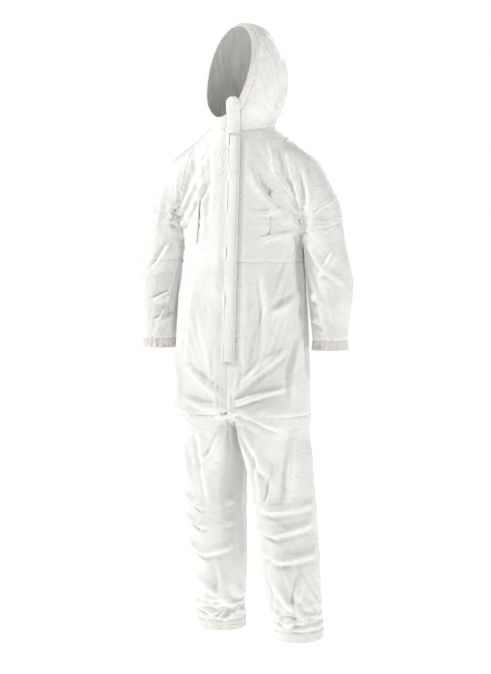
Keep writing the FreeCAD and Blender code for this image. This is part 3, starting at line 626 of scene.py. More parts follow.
FOLD_STRENGTH = 1.9
FOLDS = (
    # from the left armpit across the chest
    ("front", ((0.170, -0.270), (0.120, -0.235), (0.070, -0.170), (0.050, -0.120)), 0.011, 0.006),
    ("front", ((0.178, -0.300), (0.130, -0.310), (0.085, -0.330)), 0.010, 0.005),
    ("front", ((0.155, -0.190), (0.120, -0.140), (0.105, -0.070)), 0.012, 0.006),
    ("front", ((0.140, -0.230), (0.100, -0.250), (0.060, -0.250)), 0.007, 0.003),
    # from the right armpit and down the right chest
    ("front", ((-0.170, -0.270), (-0.125, -0.225), (-0.085, -0.150)), 0.012, 0.005),
    ("front", ((-0.110, -0.070), (-0.100, -0.180), (-0.085, -0.300)), 0.014, 0.004),
    ("front", ((-0.060, -0.050), (-0.055, -0.160), (-0.060, -0.270)), 0.012, 0.003),
    ("front", ((-0.175, -0.330), (-0.120, -0.345), (-0.070, -0.350)), 0.010, 0.004),
    # long soft drape over the belly
    ("front", ((-0.120, -0.430), (-0.125, -0.560), (-0.140, -0.700)), 0.018, 0.005),
    ("front", ((0.100, -0.420), (0.115, -0.540), (0.110, -0.650)), 0.020, 0.005),
    ("front", ((0.175, -0.480), (0.140, -0.520), (0.095, -0.540)), 0.012, 0.005),
    ("front", ((0.185, -0.600), (0.170, -0.700), (0.175, -0.790)), 0.012, 0.006),
    ("front", ((-0.190, -0.640), (-0.165, -0.720), (-0.160, -0.800)), 0.012, 0.005),
    # out from the crotch
    ("front", ((0.012, -0.765), (0.070, -0.715), (0.150, -0.640)), 0.011, 0.009),
    ("front", ((0.020, -0.790), (0.080, -0.770), (0.160, -0.745)), 0.009, 0.008),
    ("front", ((0.020, -0.812), (0.080, -0.830), (0.150, -0.860)), 0.010, 0.006),
    ("front", ((-0.010, -0.770), (-0.060, -0.740), (-0.130, -0.690)), 0.011, 0.007),
    ("front", ((-0.015, -0.800), (-0.070, -0.800), (-0.140, -0.780)), 0.009, 0.006),
    ("front", ((0.030, -0.850), (0.070, -0.920), (0.120, -1.010)), 0.014, 0.007),
    ("front", ((-0.020, -0.850), (-0.050, -0.930), (-0.090, -1.000)), 0.014, 0.006),
    ("front", ((0.090, -0.900), (0.085, -1.000), (0.092, -1.100)), 0.013, 0.005),
    ("front", ((0.176, -0.880), (0.170, -0.980), (0.160, -1.080)), 0.013, 0.006),
    ("front", ((0.135, -0.960), (0.120, -1.040), (0.100, -1.110)), 0.010, 0.004),
    ("front", ((-0.090, -0.880), (-0.085, -0.980), (-0.070, -1.080)), 0.013, 0.005),
    ("front", ((-0.150, -0.900), (-0.140, -1.000), (-0.125, -1.060)), 0.012, 0.005),
    ("front", ((0.200, -1.280), (0.190, -1.350), (0.205, -1.440)), 0.011, 0.005),
    ("front", ((0.110, -1.270), (0.130, -1.340), (0.125, -1.430)), 0.010, 0.004),
    ("front", ((-0.114, -1.380), (-0.060, -1.378), (-0.012, -1.389)), 0.008, 0.005),
    ("front", ((-0.012, -1.389), (-0.034, -1.420), (-0.055, -1.447)), 0.008, 0.005),
    ("front", ((-0.060, -1.250), (-0.050, -1.320), (-0.060, -1.380)), 0.011, 0.004),
    # bagging at the knees
    ("front", ((0.060, -1.075), (0.120, -1.100), (0.215, -1.085)), 0.013, 0.009),
    ("front", ((0.070, -1.150), (0.130, -1.165), (0.215, -1.140)), 0.013, 0.009),
    ("front", ((0.075, -1.215), (0.150, -1.240), (0.225, -1.225)), 0.014, 0.008),
    ("front", ((-0.170, -1.065), (-0.110, -1.095), (-0.020, -1.080)), 0.012, 0.008),
    ("front", ((-0.170, -1.135), (-0.110, -1.150), (-0.020, -1.145)), 0.012, 0.008),
    ("front", ((-0.165, -1.210), (-0.100, -1.235), (-0.025, -1.215)), 0.013, 0.007),
    ("front", ((0.130, -1.300), (0.160, -1.360), (0.205, -1.400)), 0.012, 0.006),
    ("front", ((-0.140, -1.300), (-0.090, -1.340), (-0.030, -1.400)), 0.012, 0.006),
    ("front", ((0.115, -1.410), (0.160, -1.425), (0.220, -1.410)), 0.009, 0.006),
    ("front", ((-0.145, -1.405), (-0.090, -1.425), (-0.020, -1.412)), 0.009, 0.006),
    # down and round the sleeves
    ("front", ((0.205, -0.330), (0.250, -0.400), (0.310, -0.450)), 0.011, 0.007),
    ("front", ((0.310, -0.270), (0.285, -0.360), (0.250, -0.430)), 0.011, 0.006),
    ("front", ((0.215, -0.480), (0.260, -0.505), (0.325, -0.490)), 0.010, 0.008),
    ("front", ((0.215, -0.545), (0.260, -0.565), (0.320, -0.550)), 0.009, 0.007),
    ("front", ((0.200, -0.120), (0.215, -0.180), (0.225, -0.250)), 0.012, 0.006),
    ("front", ((-0.205, -0.330), (-0.250, -0.400), (-0.310, -0.450)), 0.011, 0.006),
    ("front", ((-0.215, -0.480), (-0.260, -0.505), (-0.325, -0.490)), 0.010, 0.007),
    ("front", ((-0.215, -0.545), (-0.260, -0.565), (-0.320, -0.550)), 0.009, 0.006),
    ("front", ((-0.215, -0.130), (-0.235, -0.220), (-0.260, -0.310)), 0.012, 0.005),
    # the back, the seat and behind the knees
    ("back", ((0.160, -0.270), (0.110, -0.210), (0.080, -0.110)), 0.014, 0.007),
    ("back", ((-0.160, -0.270), (-0.110, -0.210), (-0.080, -0.110)), 0.014, 0.007),
    ("back", ((0.060, -0.120), (0.045, -0.250), (0.060, -0.380)), 0.018, 0.006),
    ("back", ((-0.070, -0.140), (-0.050, -0.260), (-0.065, -0.400)), 0.018, 0.006),
    ("back", ((0.020, -0.780), (0.080, -0.730), (0.150, -0.670)), 0.013, 0.008),
    ("back", ((-0.020, -0.780), (-0.080, -0.730), (-0.150, -0.670)), 0.013, 0.008),
    ("back", ((0.030, -0.840), (0.100, -0.860), (0.170, -0.850)), 0.013, 0.008),
    ("back", ((-0.030, -0.840), (-0.100, -0.860), (-0.170, -0.850)), 0.013, 0.008),
    ("back", ((0.060, -1.100), (0.130, -1.125), (0.215, -1.105)), 0.013, 0.010),
    ("back", ((0.070, -1.180), (0.140, -1.200), (0.215, -1.170)), 0.013, 0.009),
    ("back", ((-0.175, -1.090), (-0.100, -1.120), (-0.020, -1.095)), 0.013, 0.010),
    ("back", ((-0.170, -1.170), (-0.100, -1.190), (-0.020, -1.165)), 0.013, 0.009),
    ("back", ((0.215, -0.440), (0.265, -0.460), (0.320, -0.440)), 0.011, 0.008),
    ("back", ((-0.215, -0.440), (-0.265, -0.460), (-0.320, -0.440)), 0.011, 0.008),
    # the hood's drape beside the face and down to the shoulder
    ("left", ((-0.020, 0.200), (0.010, 0.120), (-0.010, 0.050)), 0.012, 0.006),
    ("left", ((0.040, 0.220), (0.060, 0.130), (0.050, 0.050)), 0.014, 0.006),
    ("right", ((0.000, 0.180), (0.020, 0.110), (0.010, 0.045)), 0.012, 0.006),
    ("back", ((0.040, 0.240), (0.055, 0.150), (0.040, 0.060)), 0.014, 0.006),
    ("back", ((-0.045, 0.230), (-0.060, 0.140), (-0.045, 0.060)), 0.014, 0.006),
)
for view, path, width, depth in FOLDS:
    fold(view, path, width, depth)
print("folds drawn:", len(FOLDS))

# %% [markdown]
# A sewn seam pulls the cloth in a little and puckers it. Elastic at the cuffs and in the back of the
# waist gathers it into many small pleats. Both are small, regular moves of the points close to them.

# %% Seams, puckers and gathers
from mathutils.kdtree import KDTree

knee_edges = [e for e in seam_edges if {panel_of_face[f.index] for f in e.link_faces} <= {
    "left_upper_leg", "left_lower_leg", "right_upper_leg", "right_lower_leg"}]
sewn = [e for e in seam_edges if e not in set(knee_edges)]
seam_tree = KDTree(len(sewn) * 2)
number = 0
for edge in sewn:
    for vertex in edge.verts:
        seam_tree.insert(Vector(points[vertex.index]), number)
        number += 1
seam_tree.balance()
gap = np.array([seam_tree.find(Vector(p))[2] for p in points])
layout_points = np.array([v.co for v in cutter.verts])
pucker = np.sin(points @ np.array((290.0, 260.0, 330.0))) * np.exp(-((gap / 0.012) ** 2))
points += normals * (0.0007 * pucker - 0.0020 * np.exp(-((gap / 0.0032) ** 2)))[:, None]


def gather(centre, z, spread, pleats, height, pinch, chosen):
    """Pleats round an elastic at a height, and a pinch where it pulls tight."""
    turn = np.arctan2(points[:, 1] - centre[1], points[:, 0] - centre[0])
    near = np.exp(-(((points[:, 2] - z) / spread) ** 2)) * chosen
    wave = np.sin(pleats * turn + 1.3 * np.sin(3 * turn))
    points[:] += normals * ((height * wave - pinch) * near)[:, None]


x, y, z = points.T
for side in (1, -1):
    sleeve = ((side * x > 0.195) & (z < -0.55) & (z > -0.66)).astype(float)
    gather((side * 0.262, 0.005), -0.624, 0.016, 21, 0.0024, 0.0035, sleeve)
    knee, hem = LEG_PATHS[side]
    shin = ((side * x > -0.02) & (z < -1.38)).astype(float)
    gather(hem, -1.462, 0.012, 15, 0.0010, 0.0010, shin)
waist = ((y > 0.03) & (abs(x) < 0.20)).astype(float)
gather((0, 0), -0.470, 0.018, 48, 0.0016, 0.0050, waist)
print("elastics gathered")

# %% [markdown]
# Now the skin is taken apart into its panels. Each gets its own mesh and the thickness of the cloth,
# drawn a little thicker than the real 0.3 mm so that its edges show. Hems are folded double.

# %% Panels from the skin
CLOTH, HEM = 0.0011, 0.0024
pieces = {}


def make_panel(name):
    faces = [f for f in cutter.faces if panel_of_face[f.index] == name]
    index = {}
    corners = []
    for face in faces:
        corners.append([index.setdefault(v.index, len(index)) for v in face.verts])
    obj = mesh_object(name + "_cloth", [points[i] for i in index], corners)
    only(obj)
    bpy.ops.object.shade_smooth()
    thick = HEM if name.endswith("hem") else CLOTH
    apply_modifier(obj, "SOLIDIFY", thickness=thick, offset=-0.4, use_rim=True)
    only(obj)
    bpy.ops.object.shade_smooth_by_angle(angle=math.radians(65))
    return obj


for name in sorted(set(panel_of_face)):
    pieces[name] = make_panel(name)
    area = sum(p.area for p in pieces[name].data.polygons) / 2
    print(f"{name}: {len(pieces[name].data.polygons)} faces, {area:.3f} m2 of cloth")
for leftover in (skin, placed_skin, layout_skin):
    bpy.data.objects.remove(leftover)

# %% [markdown]
# Under the arm the body's side panel runs on up behind the sleeve, to the bottom of the round armhole.
# It hides while the arm hangs, and closes the side of the chest when the arm is raised.

# %% Underarm panels
UNDERARM_TOP, UNDERARM_LOW = -0.185, -0.335
UNDERARM_ROWS, UNDERARM_COLUMNS = 24, 36


def torso_half_sizes(z):
    """The body's half width and half depth at a height, between the loft's levels."""
    heights = [-level[0] for level in TORSO_LEVELS]
    return tuple(float(np.interp(-z, heights, [level[i] for level in TORSO_LEVELS])) for i in (1, 2))


for side, hand in ((1, "left"), (-1, "right")):
    vertices, faces = [], []
    for j in range(UNDERARM_ROWS + 1):
        z = UNDERARM_LOW + (UNDERARM_TOP - UNDERARM_LOW) * j / UNDERARM_ROWS
        half_x, half_y = torso_half_sizes(z)
        for k in range(UNDERARM_COLUMNS + 1):
            a = math.radians(-52 + 104 * k / UNDERARM_COLUMNS)
            x = side * (half_x - 0.004) * math.cos(a) ** 0.93
            y = front_line(z) + half_y + (half_y - 0.004) * math.sin(a)
            vertices.append(Vector((x, y, z)))
    for j in range(UNDERARM_ROWS):
        for k in range(UNDERARM_COLUMNS):
            a = j * (UNDERARM_COLUMNS + 1) + k
            faces.append((a, a + 1, a + UNDERARM_COLUMNS + 2, a + UNDERARM_COLUMNS + 1))
    underarm = mesh_object(f"{hand}_underarm_cloth", vertices, faces)
    if underarm.data.polygons[0].normal.x * side < 0:
        underarm.data.flip_normals()
    only(underarm)
    bpy.ops.object.shade_smooth()
    apply_modifier(underarm, "SOLIDIFY", thickness=CLOTH, offset=-1, use_rim=True)
    pieces[f"{hand}_underarm"] = underarm

# %% [markdown]
# The storm flap is a strip of the same cloth, folded double, that covers the zip. It is sewn down along
# the wearer's left and lies free on the right, where adhesive tape holds it. It swings like a door, so
# it stands a little proud of the chest on a soft arch, and its free edge waves slightly.

# %% Storm flap
FLAP_TOP, FLAP_BOTTOM = -0.006, -0.660
FLAP_LEFT, FLAP_RIGHT = 0.0235, -0.0195
FLAP_ACROSS, FLAP_ALONG = 22, 260


def flap_out(u, along):
    """How far the flap stands off the front: u runs from 0 at the sewn edge to 1 at the free one."""
    arch = 0.0035 + 0.0050 * math.sin(math.pi * min(1, u * 1.15)) * (1 - 0.35 * u)
    stitched = -0.0012 * math.exp(-(((u - 0.14) / 0.035) ** 2))
    wave = 0.0011 * u * (math.sin(along * 41) + 0.7 * math.sin(along * 97 + 1.0))
    return arch + stitched + wave


vertices, faces = [], []
for j in range(FLAP_ALONG + 1):
    along = FLAP_TOP + (FLAP_BOTTOM - FLAP_TOP) * j / FLAP_ALONG
    for i in range(FLAP_ACROSS + 1):
        u = i / FLAP_ACROSS
        edge = 0.0007 * math.sin(along * 63) * u
        across = FLAP_LEFT + (FLAP_RIGHT - FLAP_LEFT) * u + edge
        vertices.append(front_at(across, flap_out(u, along), along))
for j in range(FLAP_ALONG):
    for i in range(FLAP_ACROSS):
        a = j * (FLAP_ACROSS + 1) + i
        faces.append((a, a + 1, a + FLAP_ACROSS + 2, a + FLAP_ACROSS + 1))
flap = mesh_object("storm_flap_cloth", vertices, faces)
only(flap)
bpy.ops.object.mode_set(mode="EDIT")
bpy.ops.mesh.select_all(action="SELECT")
bpy.ops.mesh.normals_make_consistent(inside=False)
bpy.ops.object.mode_set(mode="OBJECT")
if flap.data.polygons[0].normal.y > 0:
    flap.data.flip_normals()
bpy.ops.object.shade_smooth()
apply_modifier(flap, "SOLIDIFY", thickness=0.0014, offset=0, use_rim=True)
pieces["storm_flap"] = flap

# %% Flap's top end over the chin, which goes with the hood
top_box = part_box("storm_flap_top")
TOP_ACROSS, TOP_ALONG = 18, 44
TOP_FROM = -0.0225
vertices, faces = [], []
for j in range(TOP_ALONG + 1):
    v = j / TOP_ALONG
    height = TOP_FROM + (0.082 - TOP_FROM) * v
    rounding = math.sqrt(max(0.0, 1 - max(0.0, (v - 0.82) / 0.18) ** 2))
    for i in range(TOP_ACROSS + 1):
        u = i / TOP_ACROSS
        middle = 0.002 + 0.006 * v
        across = middle + 0.0215 * (1 - 2 * u) * max(rounding, 0.08)
        hit = closed_front.ray_cast(Vector((across, -1, height)), Vector((0, 1, 0)))
        on_chest = front_at(across, 0.0, (height - FRONT_Z) / math.cos(LEAN)).y
        base = hit[0].y if hit[0] is not None else on_chest
        lift = 0.0035 + 0.0045 * math.sin(math.pi * u) * (1 - 0.6 * v) + 0.0050 * (1 - v) ** 3
        vertices.append(Vector((across, base - lift, height)))
for j in range(TOP_ALONG):
    for i in range(TOP_ACROSS):
        a = j * (TOP_ACROSS + 1) + i
        faces.append((a, a + 1, a + TOP_ACROSS + 2, a + TOP_ACROSS + 1))
flap_top = mesh_object("storm_flap_top_cloth", vertices, faces)
apply_modifier(flap_top, "SMOOTH", factor=0.5, iterations=12)
if flap_top.data.polygons[0].normal.y > 0:
    flap_top.data.flip_normals()
only(flap_top)
bpy.ops.object.shade_smooth()
apply_modifier(flap_top, "SOLIDIFY", thickness=0.0014, offset=0, use_rim=True)
pieces["storm_flap_top"] = flap_top
print("flap and its top:", len(flap.data.polygons), len(flap_top.data.polygons), "faces")

# %% [markdown]
# Stitches are short threads sunk into the cloth, about 3 mm apart. One bead with pointed ends is the
# thread between two needle holes, and the same bead, made wider, is a tooth of the zip's nylon coil.

# %% Stitches and zip teeth
BEAD_SIDES = 6


def beads(name, placings):
    """One mesh of beads. Each placing is (centre, long half axis, wide half axis, high half axis)."""
    vertices, faces = [], []
    for centre, long_axis, wide_axis, high_axis in placings:
        first = len(vertices)
        vertices.append(centre - long_axis)
        for along, size in ((-0.55, 0.85), (0.55, 0.85)):
            for k in range(BEAD_SIDES):
                a = 2 * math.pi * k / BEAD_SIDES
                round_it = wide_axis * math.cos(a) * size + high_axis * math.sin(a) * size
                vertices.append(centre + long_axis * along + round_it)
        vertices.append(centre + long_axis)
        end = len(vertices) - 1
        for k in range(BEAD_SIDES):
            a, b = first + 1 + k, first + 1 + (k + 1) % BEAD_SIDES
            faces.append((first, b, a))
            faces.append((a, b, b + BEAD_SIDES, a + BEAD_SIDES))
            faces.append((end, a + BEAD_SIDES, b + BEAD_SIDES))
    obj = mesh_object(name, vertices, faces)
    only(obj)
    bpy.ops.object.mode_set(mode="EDIT")
    bpy.ops.mesh.select_all(action="SELECT")
    bpy.ops.mesh.normals_make_consistent(inside=False)
    bpy.ops.object.mode_set(mode="OBJECT")
    bpy.ops.object.shade_smooth()
    return obj


def stitch_row(spots):
    """A stitch between each spot and the next, over a (point, normal) list, with a gap at every hole."""
    row = []
    for (a, up), (b, unused) in zip(spots, spots[1:]):
        half = (b - a) * 0.40
        side = half.cross(up).normalized()
        row.append(((a + b) / 2 + up * 0.0003, half, side * 0.00045, up * 0.0004))
    return row


STITCH = 0.0032
flap_rows = []
for u in (0.10, 0.17, 0.90):
    spots = []
    for k in range(int((FLAP_TOP - FLAP_BOTTOM) / STITCH)):
        along = FLAP_TOP - 0.002 - STITCH * k
        across = FLAP_LEFT + (FLAP_RIGHT - FLAP_LEFT) * u
        spots.append((front_at(across, flap_out(u, along) + 0.0007, along), Vector((0, -1, 0))))
    flap_rows += stitch_row(spots)
stitches = {"storm_flap": beads("flap_stitches", flap_rows)}


def around(piece_name, centre, z, reach=0.13):
    """Spots all the way round a sleeve or a leg, on the outside of its cloth."""
    obj = pieces[piece_name]
    tree = BVHTree.FromPolygons(
        [v.co for v in obj.data.vertices], [tuple(p.vertices) for p in obj.data.polygons]
    )
    spots = []
    count = 116 if "cuff" in piece_name else 150
    for k in range(count + 1):
        a = 2 * math.pi * k / count
        way = Vector((math.cos(a), math.sin(a), 0))
        start = Vector((centre[0], centre[1], z)) + way * reach
        hit = tree.ray_cast(start, -way)
        if hit[0] is not None:
            spots.append((hit[0], way))
    return spots


for side, hand in ((1, "left"), (-1, "right")):
    cuff, leg_hem = f"{hand}_cuff_hem", f"{hand}_leg_hem"
    cuff_row = stitch_row(around(cuff, (side * 0.262, 0.005), -0.6165, 0.05 + 0.03))
    stitches[f"{hand}_forearm"] = beads(f"{hand}_cuff_stitches", cuff_row)
    hem = LEG_PATHS[side][1]
    hem_rows = stitch_row(around(leg_hem, hem, -1.4530)) + stitch_row(around(leg_hem, hem, -1.4560))
    stitches[f"{hand}_shin"] = beads(f"{hand}_hem_stitches", hem_rows)

TOOTH_PITCH = 0.0016
teeth = {}
for side, hand in ((1, "left"), (-1, "right")):
    row = []
    for k in range(int((0.648 - 0.015) / TOOTH_PITCH)):
        along = -0.0155 - TOOTH_PITCH * k
        centre = front_at(side * 0.00205, -0.0019, along)
        out = front_at(0, 0.0012, 0) - front_at(0, 0, 0)
        up = front_at(0, 0, 0.00062) - front_at(0, 0, 0)
        row.append((centre, Vector((0.00112, 0, 0)), up, out))
    teeth[hand] = beads(f"zip_teeth_{hand}", row)
print("stitched pieces:", len(stitches), "teeth rows:", len(teeth))

# %% [markdown]
# Elastic bands are flat ribbed tapes. Each is swept round its opening just inside the cloth, with small
# ribs across it, as woven elastic has. The neck seam's tape is the same shape without ribs.

# %% Elastic bands and the neck tape
def band(name, low, high, thickness, ribs, closed=True):
    """A flat band between two loops of points, with ribs across it."""
    centre = sum(low, Vector()) / len(low)
    count = len(low)
    vertices, faces = [], []
    for k in range(count):
        inward = (centre - low[k]).normalized()
        rib = 0.00025 * (k % 2) * ribs
        for point, deep in ((low[k], 0), (high[k], 0), (high[k], thickness), (low[k], thickness)):
            vertices.append(point + inward * (deep + (rib if deep == 0 else -rib)))
    last = count if closed else count - 1
    for k in range(last):
        a, b = 4 * k, 4 * ((k + 1) % count)
        for i in range(4):
            j = (i + 1) % 4
            faces.append((a + i, b + i, b + j, a + j))
    if not closed:
        faces.append((3, 2, 1, 0))
        end = 4 * (count - 1)
        faces.append((end, end + 1, end + 2, end + 3))
    obj = mesh_object(name, vertices, faces)
    only(obj)
    bpy.ops.object.mode_set(mode="EDIT")
    bpy.ops.mesh.select_all(action="SELECT")
    bpy.ops.mesh.normals_make_consistent(inside=False)
    bpy.ops.object.mode_set(mode="OBJECT")
    return obj


def oval(centre, half_x, half_y, z, count=180, start=0.0, end=2 * math.pi):
    loop = []
    for k in range(count):
        a = start + (end - start) * k / (count if end - start > 6.28 else count - 1)
        loop.append(Vector((centre[0] + half_x * math.cos(a), centre[1] + half_y * math.sin(a), z)))
    return loop


for side, hand in ((1, "left"), (-1, "right")):
    wrist = (side * 0.262, 0.005)
    pieces[f"{hand}_wrist_elastic"] = band(
        f"{hand}_wrist_band", oval(wrist, 0.0455, 0.0495, -0.629), oval(wrist, 0.0455, 0.0495, -0.619), 0.0009, 1
    )
    hem = LEG_PATHS[side][1]
    pieces[f"{hand}_ankle_elastic"] = band(
        f"{hand}_ankle_band", oval(hem, 0.0675, 0.0745, -1.467), oval(hem, 0.0675, 0.0745, -1.457), 0.0009, 1
    )
waist_y = front_line(-0.47) + 0.134
pieces["back_waist_elastic"] = band(
    "waist_band",
    oval((0, waist_y), 0.180, 0.122, -0.476, 200, math.radians(18), math.radians(162)),
    oval((0, waist_y), 0.180, 0.122, -0.464, 200, math.radians(18), math.radians(162)),
    0.0009, 1, closed=False,
)
pieces["neck_seam_tape"] = band("neck_tape", neck_ring(-0.007, 0.0895), neck_ring(0.006, 0.0895), 0.0006, 0)
print("bands made:", 6)

# %% [markdown]
# Laminated non-woven cloth is spun plastic fibre, pressed with a fine dot emboss and coated with a thin
# film. It is bright white, slightly shiny, and crumples like paper: so the shader has a dot emboss, a
# paper-like crumple of small flat facets, and a mild sheen.

# %% Materials
def linear(hexa):
    values = [int(hexa[i:i + 2], 16) / 255 for i in (0, 2, 4)]
    values = [v / 12.92 if v <= 0.04045 else ((v + 0.055) / 1.055) ** 2.4 for v in values]
    return (*values, 1)


def add(tree, kind, settings=None, inputs=None, links=None):
    """Adds a node: settings are its own, inputs are socket values, links are (output, socket)."""
    node = tree.nodes.new("ShaderNode" + kind)
    for key, value in (settings or {}).items():
        setattr(node, key, value)
    for key, value in (inputs or {}).items():
        node.inputs[key].default_value = value
    for output, socket in (links or []):
        tree.links.new(output, node.inputs[socket])
    return node


def material(name):
    made = bpy.data.materials.new(name)
    made.use_nodes = True
    tree = made.node_tree
    shader = tree.nodes["Principled BSDF"]
    place = add(tree, "TexCoord")
    return made, tree, shader, place.outputs["Object"]


def laminate(name, light, shade, emboss_mm=2.4, crumple=1.0):
    made, tree, shader, place = material(name)
    mottle = add(tree, "TexNoise", inputs={"Scale": 9.0, "Detail": 4.0}, links=[(place, "Vector")])
    ramp = add(tree, "ValToRGB", links=[(mottle.outputs["Fac"], "Fac")])
    ramp.color_ramp.elements[0].position = 0.3
    ramp.color_ramp.elements[0].color = linear(shade)
    ramp.color_ramp.elements[1].position = 0.62
    ramp.color_ramp.elements[1].color = linear(light)
    tree.links.new(ramp.outputs["Color"], shader.inputs["Base Color"])
    dots = add(tree, "TexVoronoi", inputs={"Scale": 1000 / emboss_mm, "Randomness": 0.15}, links=[(place, "Vector")])
    warp = add(tree, "TexNoise", inputs={"Scale": 14.0, "Detail": 3.0}, links=[(place, "Vector")])
    bent = add(tree, "MixRGB", inputs={"Fac": 0.12}, links=[(place, "Color1"), (warp.outputs["Color"], "Color2")])
    facets = add(
        tree, "TexVoronoi", {"feature": "DISTANCE_TO_EDGE"}, {"Scale": 26.0}, [(bent.outputs["Color"], "Vector")]
    )
    crease = add(tree, "MapRange", inputs={"From Max": 0.10}, links=[(facets.outputs["Distance"], "Value")])
    soft = add(tree, "TexNoise", inputs={"Scale": 34.0, "Detail": 6.0, "Roughness": 0.6}, links=[(place, "Vector")])
    first = add(
        tree, "Bump", inputs={"Strength": 0.30 * crumple, "Distance": 0.0030},
        links=[(crease.outputs["Result"], "Height")],
    )
    second = add(
        tree, "Bump", inputs={"Strength": 0.42 * crumple, "Distance": 0.0045},
        links=[(soft.outputs["Fac"], "Height"), (first.outputs["Normal"], "Normal")],
    )
    third = add(
        tree, "Bump", inputs={"Strength": 0.20, "Distance": 0.0005},
        links=[(dots.outputs["Distance"], "Height"), (second.outputs["Normal"], "Normal")],
    )
    tree.links.new(third.outputs["Normal"], shader.inputs["Normal"])
    shader.inputs["Roughness"].default_value = 0.48
    shader.inputs["Specular IOR Level"].default_value = 0.42
    shader.inputs["Sheen Weight"].default_value = 0.12
    return made


def woven(name, light, shade, rib_mm, rough=0.8):
    made, tree, shader, place = material(name)
    ribs = add(
        tree, "TexWave", {"wave_type": "BANDS", "bands_direction": "Z"}, {"Scale": 1000 / rib_mm / 6.3},
        [(place, "Vector")],
    )
    # The ribs' low bands, which the bump below sinks, get the darker colour: a painted shade in the grooves between the
    # ribs.
    ramp = add(tree, "ValToRGB", links=[(ribs.outputs["Fac"], "Fac")])
    ramp.color_ramp.elements[0].color = linear(shade)
    ramp.color_ramp.elements[1].color = linear(light)
    tree.links.new(ramp.outputs["Color"], shader.inputs["Base Color"])
    bump = add(
        tree, "Bump", inputs={"Strength": 0.4, "Distance": 0.0004}, links=[(ribs.outputs["Fac"], "Height")]
    )
    tree.links.new(bump.outputs["Normal"], shader.inputs["Normal"])
    shader.inputs["Roughness"].default_value = rough
    return made


def hard(name, colour, metallic, rough, grain_mm):
    made, tree, shader, place = material(name)
    grain = add(tree, "TexNoise", inputs={"Scale": 1000 / grain_mm, "Detail": 3.0}, links=[(place, "Vector")])
    wear = add(tree, "MapRange", inputs={"To Min": rough - 0.08, "To Max": rough + 0.1}, links=[(grain.outputs["Fac"], "Value")])
    tree.links.new(wear.outputs["Result"], shader.inputs["Roughness"])
    shader.inputs["Base Color"].default_value = linear(colour)
    shader.inputs["Metallic"].default_value = metallic
    return made


COATED_CLOTH = laminate("film_coated_nonwoven", "e9e8e5", "dfdeda")
HEM_CLOTH = laminate("film_coated_nonwoven_hem", "e8e5e1", "dcd8d2", crumple=1.4)
ELASTIC = woven("knitted_elastic", "efefec", "d3d3cf", 1.4)
ZIP_CLOTH = woven("woven_zip_tape", "f0f0ee", "dededb", 0.9)
SEAM_TAPE = laminate("bonded_seam_tape", "eeeeeb", "e4e4e0", crumple=0.3)
PAPER_LABEL = woven("satin_label", "f6f6f4", "ebebe8", 0.5, 0.5)
ADHESIVE = laminate("release_paper_tape", "e9ecec", "dfe3e3", crumple=0.2)
COIL = hard("nylon_zip_coil", "ededeb", 0.0, 0.35, 3.0)
PAINTED = hard("white_painted_zinc", "e8e8e6", 0.0, 0.25, 4.0)
print("materials:", len(bpy.data.materials))


def dress(obj, made):
    obj.data.materials.clear()
    obj.data.materials.append(made)


for name, piece in pieces.items():
    if "elastic" in name:
        dress(piece, ELASTIC)
    elif name == "neck_seam_tape":
        dress(piece, SEAM_TAPE)
    else:
        dress(piece, HEM_CLOTH if name.endswith("hem") else COATED_CLOTH)
THREAD = woven("polyester_thread", "f4f4f2", "e2e2df", 0.4, 0.6)
for body, row in stitches.items():
    dress(row, THREAD)
    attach(row, body)
for hand, row in teeth.items():
    dress(row, COIL)
    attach(row, "torso")
    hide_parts(f"zip_coil_{hand}")
for name, made in (
    ("neck_label", PAPER_LABEL), ("zip_tape_left", ZIP_CLOTH), ("zip_tape_right", ZIP_CLOTH),
    ("flap_adhesive_tape", ADHESIVE), ("zip_top_stop", COIL), ("zip_bottom_stop", COIL),
    ("zip_slider", PAINTED), ("zip_pull", PAINTED),
):
    dress(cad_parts[name], made)

# %% [markdown]
# Last, each piece but the upper and lower sleeves and legs is hung on the body it moves with, and the
# model's parts that a piece stands for are hidden. Each panel's cloth size when cut is listed. The sleeves and the legs
# stay where they settled.

# %% Bodies and cloth sizes
FLAT = {
    "upper_back": (0.48, 0.42), "upper_front_left": (0.24, 0.38), "upper_front_right": (0.24, 0.38),
    "lower_front_left": (0.32, 0.44), "lower_front_right": (0.32, 0.44),
    "lower_back_left": (0.30, 0.44), "lower_back_right": (0.30, 0.44),
    "hood_left_panel": (0.27, 0.31), "hood_right_panel": (0.27, 0.31),
    "left_upper_sleeve": (0.46, 0.22), "right_upper_sleeve": (0.46, 0.31),
    "left_lower_sleeve": (0.44, 0.33), "right_lower_sleeve": (0.44, 0.24),
    "left_upper_leg": (0.66, 0.29), "right_upper_leg": (0.66, 0.29),
    "left_lower_leg": (0.58, 0.38), "right_lower_leg": (0.58, 0.38),
    "left_underarm": (0.26, 0.15), "right_underarm": (0.26, 0.15), "storm_flap": (0.044, 0.655), "storm_flap_top": (0.044, 0.100),
    "hood_face_hem": (0.68, 0.026), "left_cuff_hem": (0.37, 0.030), "right_cuff_hem": (0.37, 0.030),
    "left_leg_hem": (0.50, 0.034), "right_leg_hem": (0.50, 0.034),
}
for name, size in FLAT.items():
    piece = pieces[name]
